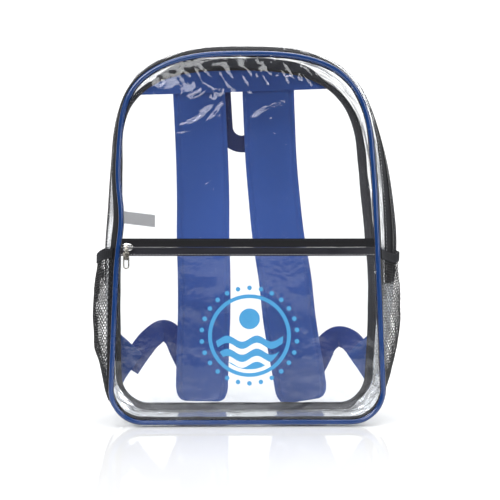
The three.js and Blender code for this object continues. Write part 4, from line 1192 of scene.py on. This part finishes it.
def behind(across, height, standOff):
    x, z = across * halfBag, height * bag["height"]
    return np.array([x, float(backSurface(x, max(z, rimBottom))) + standOff * bag["depth"], z])


def makeBack():
    grid, u = panelGrid(backRim, -bag["solidSheet"] / 2, None, None, 130, 110, backSurface)
    fade = edgeFade(backRim, grid, 0)
    soft = softNoise(grid, (55, 55, 50), 61) * 1.5 + softNoise(grid, (22, 22, 18), 62) * 0.5
    low = np.exp(-((grid[..., 2] - 16) / 16) ** 2)
    top = smoothStep(grid[..., 2], 330, 385)
    grid[..., 1] += fade * (soft * (1 - 0.7 * top)) * 0.55 - smoothStep(fade, 0, 1) * 0.6
    grid[..., 1] += smoothStep(fade, 0, 0.3) * low * 1.3 * softNoise(grid, (9, 9, 7), 63)
    made = sheet("panel_back", grid, bag["sheet"], finishes["clear"])
    dress(made, "back_panel")

    # the yoke, with a turned hem along its lower edge
    inset = 2 * bag["seam"]
    lowZ = bag["height"] - inset - yoke["height"]
    layer = (bag["solidSheet"] + yoke["thick"]) / 2 + bag["seam"]
    grid, u = panelGrid(backRim, inset, lowZ, None, 26, 80, backSurface)
    share = (bag["height"] - inset - grid[..., 2]) / yoke["height"]
    up = grid[..., 2] + yoke["rise"] * share * u[None, :]
    hem = 0.5 * np.exp(-((share - 0.93) / 0.07) ** 2)
    soft = 0.35 * softNoise(np.stack([grid[..., 0], 0 * up, up], -1), (22, 1, 12), 64)
    y = backSurface(grid[..., 0], up) + layer + hem + np.maximum(soft, -0.2)
    grid = np.stack([grid[..., 0], y, up], -1)
    made = sheet("yoke_cloth", grid, 1.0, finishes["cloth"])
    dress(made, "yoke")
    for row in (3, 22):
        line = grid[row].copy()
        line[:, 1] += 0.6
        sewLine("blueThread", settle(line), (0, 1, 0), pitch=3.0)


def strapCrown(u, run):
    # puffed between its seams, pinched along them
    seam = 0.55 * np.exp(-((np.abs(u) - 0.83) / 0.035) ** 2)
    soft = 0.06 * np.sin(run / 23.0 + 3 * u) + 0.05 * np.sin(run / 9.5 - 2 * u)
    return 1.12 - seam + soft * (1 - np.abs(u) ** 4)


def makeStraps():
    for word in ("left", "right"):
        table = zip(strapTable[word], strapTable["height"], strapTable["standOff"])
        rows = [behind(*row) for row in table]
        middles = smoothPath(rows, 190)
        foot = middles[-1]
        reach = np.linalg.norm(middles - foot, axis=1)
        turned = np.sqrt(1 - (1 - np.clip(reach / strap["taper"], 0, 1)) ** 2)
        widths = mix(strap["endWidth"], strap["width"], turned)
        made = ribbon("strap_" + word, middles, widths, strap["thick"], finishes["cloth"],
                      columns=44, edge=0.16, crown=strapCrown, sharp=180)
        dress(made, "shoulder_strap_" + word)
        across, out = ribbonFrames(middles)
        for edge in (-0.83, 0.83):
            at = middles + across * (edge * widths / 2)[:, None]
            for way in (-1, 1):
                line = settle(at + out * way * 1.35)
                sewLine("blueThread", line[4:-4], out[4:-4] * way, pitch=3.0)

        # webbing out of the adjuster's upper slot and over to the corner tab
        l = adjuster["length"] / 2
        coarse = smoothPath(rows, 22)
        beside = coarse[coarse[:, 2] < coarse[-1][2] + adjuster["overFoot"] + adjuster["length"] + l]
        front = beside[:, 1].max() + strap["solidThick"] / 2 + bag["seam"]
        inSlot = np.array([foot[0], front + 1, foot[2] + adjuster["overFoot"] + l + l / 2])
        overSlot = np.array([inSlot[0], front + adjuster["thick"] + webbing["stand"], inSlot[2]])
        risen = overSlot + [0, webbing["stand"], 1.4 * webbing["stand"]]
        path = smoothPath([inSlot, overSlot, risen, *[behind(*r) for r in webbingTable[word]]], 150)
        made = ribbon("webbing_" + word, path, np.full(len(path), webbing["width"]), webbing["thick"],
                      finishes["webbing"], columns=16, edge=0.12)
        dress(made, "adjusting_webbing_" + word)

        # the tab, a folded triangle in the side seam
        side = -1.0 if word == "left" else 1.0
        v = np.linspace(0, 1, 41)
        z = mix(tab["low"], tab["high"], v) * bag["height"]
        tip, lowZ, highZ = tab["tip"] * bag["height"], z[0], z[-1]
        t = np.where(z < tip, (z - lowZ) / (tip - lowZ), (highZ - z) / (highZ - tip))
        outer = halfWidthAt(backRim, z) - bag["seam"]
        inner = outer - halfBag * np.maximum(tab["endIn"], tab["tipIn"] * t)
        x = side * mix(outer[:, None], inner[:, None], np.linspace(0, 1, 15)[None, :])
        zz = np.broadcast_to(z[:, None], x.shape)
        layer = (bag["solidSheet"] + 1.2) / 2 + bag["seam"]
        soft = 0.2 * softNoise(np.stack([x, 0 * x, zz], -1), (10, 1, 10), 71)
        grid = np.stack([x, backSurface(x, zz) + layer + np.maximum(soft, -0.1), zz], -1)
        made = sheet("tab_" + word, grid, 1.1, finishes["cloth"])
        dress(made, "corner_tab_" + word)
        for k in (3, 11):
            line = grid[4:-4, k].copy()
            line[:, 1] += 0.65
            sewLine("blueThread", settle(line), (0, 1, 0), pitch=2.6)


def makeHaulLoop():
    top = strapTable["height"][0] * bag["height"]
    leg = haul["width"]
    low = top - haul["drop"] + leg / 2

    def layer(x, z):
        order = np.argsort(strapTable["height"])
        table = {key: np.array(strapTable[key])[order] for key in ("height", "standOff")}
        stand = bag["depth"] * tableValue(table, z / bag["height"], "standOff")
        return backSurface(x, z) + stand + strap["solidThick"] / 2 + bag["seam"] + haul["thick"]

    straight = np.linspace(top, low + leg, 30)
    turn = np.linspace(0, math.pi, 40)
    x = np.concatenate([np.full(29, -leg), -leg * np.cos(turn), np.full(29, leg)])
    z = np.concatenate([straight[:-1], low + leg - leg * np.sin(turn), straight[:-1][::-1]])
    middles = np.stack([x, layer(x, z), z], -1)
    made = ribbon("grab_loop", middles, np.full(len(middles), haul["width"]), haul["thick"],
                  finishes["navy"], columns=14, edge=0.12)
    dress(made, "haul_loop")
    # a bar of close stitches across each end
    for way in (-1, 1):
        for drop in (3, 6, 20, 23):
            x = np.linspace(way * leg - 8, way * leg + 8, 20)
            z = np.full(20, top - drop)
            line = np.stack([x, layer(x, z) + haul["thick"] / 2 + 0.15, z], -1)
            sewLine("blueThread", settle(line), (0, 1, 0), pitch=1.5)


makeBack()
makeStraps()
makeHaulLoop()
print("back made")

# hard pieces: a copy of each CAD solid with softened edges


def softened(node, name, width, material, body="bag"):
    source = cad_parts[node]
    data = source.data.copy()
    work = bmesh.new()
    work.from_mesh(data)
    bmesh.ops.remove_doubles(work, verts=work.verts, dist=1e-6)
    bmesh.ops.dissolve_limit(work, angle_limit=math.radians(1), verts=work.verts, edges=work.edges)
    sharp = [e for e in work.edges if e.is_manifold and e.calc_face_angle(0) > math.radians(30)]
    bmesh.ops.bevel(work, geom=sharp, offset=width * mm, offset_type="OFFSET", segments=2,
                    profile=0.5, affect="EDGES", clamp_overlap=True)
    bmesh.ops.triangulate(work, faces=work.faces)
    work.to_mesh(data)
    work.free()
    for p in data.polygons:
        p.use_smooth = True
    data.set_sharp_from_angle(angle=math.radians(35))
    data.materials.clear()
    data.materials.append(material)
    dress(addObject(name, data), node, body)


softened("pocket_slider", "slider_pocket", 0.35, finishes["slider"])
softened("pocket_pull", "pull_pocket", 0.22, finishes["pull"], "pull")
softened("main_slider", "slider_main", 0.3, finishes["plastic"])
for word in ("left", "right"):
    softened("strap_adjuster_" + word, "adjuster_" + word, 0.5, finishes["plastic"])
print("hard pieces made")

# stitches, one piece for each thread

stitchSize = (2.3, 0.5, 0.42)      # length, width and height

for thread in ("thread", "paleThread", "blueThread"):
    lines = [s for s in seams if s[0] == thread]
    made = beadsAt("stitches_" + thread, np.vstack([s[1] for s in lines]), np.vstack([s[2] for s in lines]),
                   np.vstack([s[3] for s in lines]), stitchSize, finishes[thread])
    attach(made, "bag")
    print("stitches", thread, sum(len(s[1]) for s in lines))

# floor, light and camera

studio = {
    "cameraFar": 1335.0, "cameraHigh": 219.0, "azimuth": -1.0, "yaw": 0.173, "drop": 1.349,
    "lens": 85.6, "sensor": 36.0,
    "floorHalf": 0.62, "floorUnder": 0.0004,
}


def makeFloor():
    size = studio["floorHalf"]
    data = bpy.data.meshes.new("floor")
    corners = [(-size, -size), (size, -size), (size, size), (-size, size)]
    data.from_pydata([(x, y, -studio["floorUnder"]) for x, y in corners], [], [(0, 1, 2, 3)])
    floor = addObject("floor", data)
    material, tree, output = newMaterial("paleFloor")
    place = placeNode(tree)
    cloud = noiseNode(tree, place, 3.0)
    deep = shaderNode(tree, "ShaderNodeSeparateXYZ", {0: place}).outputs[1]
    far = shaderNode(tree, "ShaderNodeMapRange", {0: deep, 1: -0.13, 2: 0.0}).outputs[0]
    near = mixColour(tree, cloud, (0.8, 0.8, 0.805, 1), (0.83, 0.83, 0.83, 1))
    tone = mixColour(tree, far, near, (0.97, 0.97, 0.97, 1))
    body = surfaceNode(tree, {
        "Base Color": tone, "Roughness": 0.05, "IOR": 1.33})
    tree.links.new(body, output.inputs[0])
    data.materials.append(material)


def makeLights():
    lamps = [
        {"name": "key", "at": (-1.5, -2.3, 2.0), "size": (1.5, 1.4), "power": 80},
        {"name": "fill", "at": (1.9, -2.0, 1.1), "size": (1.0, 2.0), "power": 42},
        {"name": "strip", "at": (-0.35, -2.3, 1.3), "size": (0.7, 0.6), "power": 9},
        {"name": "top", "at": (0.0, 0.1, 2.6), "size": (2.2, 1.6), "power": 50},
        {"name": "rear", "at": (0.6, 2.4, 1.5), "size": (2.4, 1.6), "power": 60},
    ]
    for lamp in lamps:
        data = bpy.data.lights.new(lamp["name"], "AREA")
        data.shape, data.energy = "RECTANGLE", lamp["power"]
        data.size, data.size_y = lamp["size"]
        light = addObject(lamp["name"], data)
        light.location = lamp["at"]
        aim = Vector((0, 0, 0.2)) - Vector(lamp["at"])
        light.rotation_euler = aim.to_track_quat("-Z", "Y").to_euler()

    world = bpy.data.worlds.new("studio")
    bpy.context.scene.world = world
    world.use_nodes = True
    tree = world.node_tree
    tree.nodes.clear()
    output = tree.nodes.new("ShaderNodeOutputWorld")
    way = shaderNode(tree, "ShaderNodeTexCoord").outputs["Generated"]
    split = shaderNode(tree, "ShaderNodeSeparateXYZ", {0: way})

    def step(value, low, high):
        return shaderNode(tree, "ShaderNodeMapRange", {0: value, 1: low, 2: high},
                          interpolation_type="SMOOTHSTEP").outputs[0]

    # dark all round, with a white sweep low behind and a soft glow overhead
    behindIt = step(split.outputs[1], 0.2, 0.75)
    sweep = mathNode(tree, "MULTIPLY", behindIt, step(split.outputs[2], 0.36, 0.2))
    glow = mathNode(tree, "MULTIPLY", step(split.outputs[2], 0.75, 0.95), 0.5)
    level = mathNode(tree, "ADD", mathNode(tree, "MAXIMUM", sweep, glow), 0.035)
    around = shaderNode(tree, "ShaderNodeBackground", {"Color": (0.96, 0.98, 1, 1), "Strength": level})
    seen = shaderNode(tree, "ShaderNodeBackground", {"Color": (1, 1, 1, 1), "Strength": 1.3})
    direct = shaderNode(tree, "ShaderNodeLightPath").outputs["Is Camera Ray"]
    both = shaderNode(tree, "ShaderNodeMixShader", {0: direct, 1: around.outputs[0], 2: seen.outputs[0]})
    tree.links.new(both.outputs[0], output.inputs[0])


def makeCamera():
    data = bpy.data.cameras.new("camera")
    data.lens, data.sensor_width = studio["lens"], studio["sensor"]
    data.clip_end = 50
    camera = addObject("camera", data)
    turn = math.radians(-studio["azimuth"])
    ahead = Vector((math.sin(turn), math.cos(turn), 0))
    start = Vector((bagOrigin[0], bagOrigin[1], studio["cameraHigh"] * mm))
    camera.location = start - ahead * studio["cameraFar"] * mm
    turn += math.radians(studio["yaw"])
    drop = math.radians(studio["drop"])
    aim = Vector((math.sin(turn) * math.cos(drop), math.cos(turn) * math.cos(drop), -math.sin(drop)))
    camera.rotation_euler = aim.to_track_quat("-Z", "Y").to_euler()
    bpy.context.scene.camera = camera


makeFloor()
makeLights()
makeCamera()
scene = bpy.context.scene
scene.view_settings.view_transform = "Standard"
scene.cycles.transparent_max_bounces = 48
print("studio made")
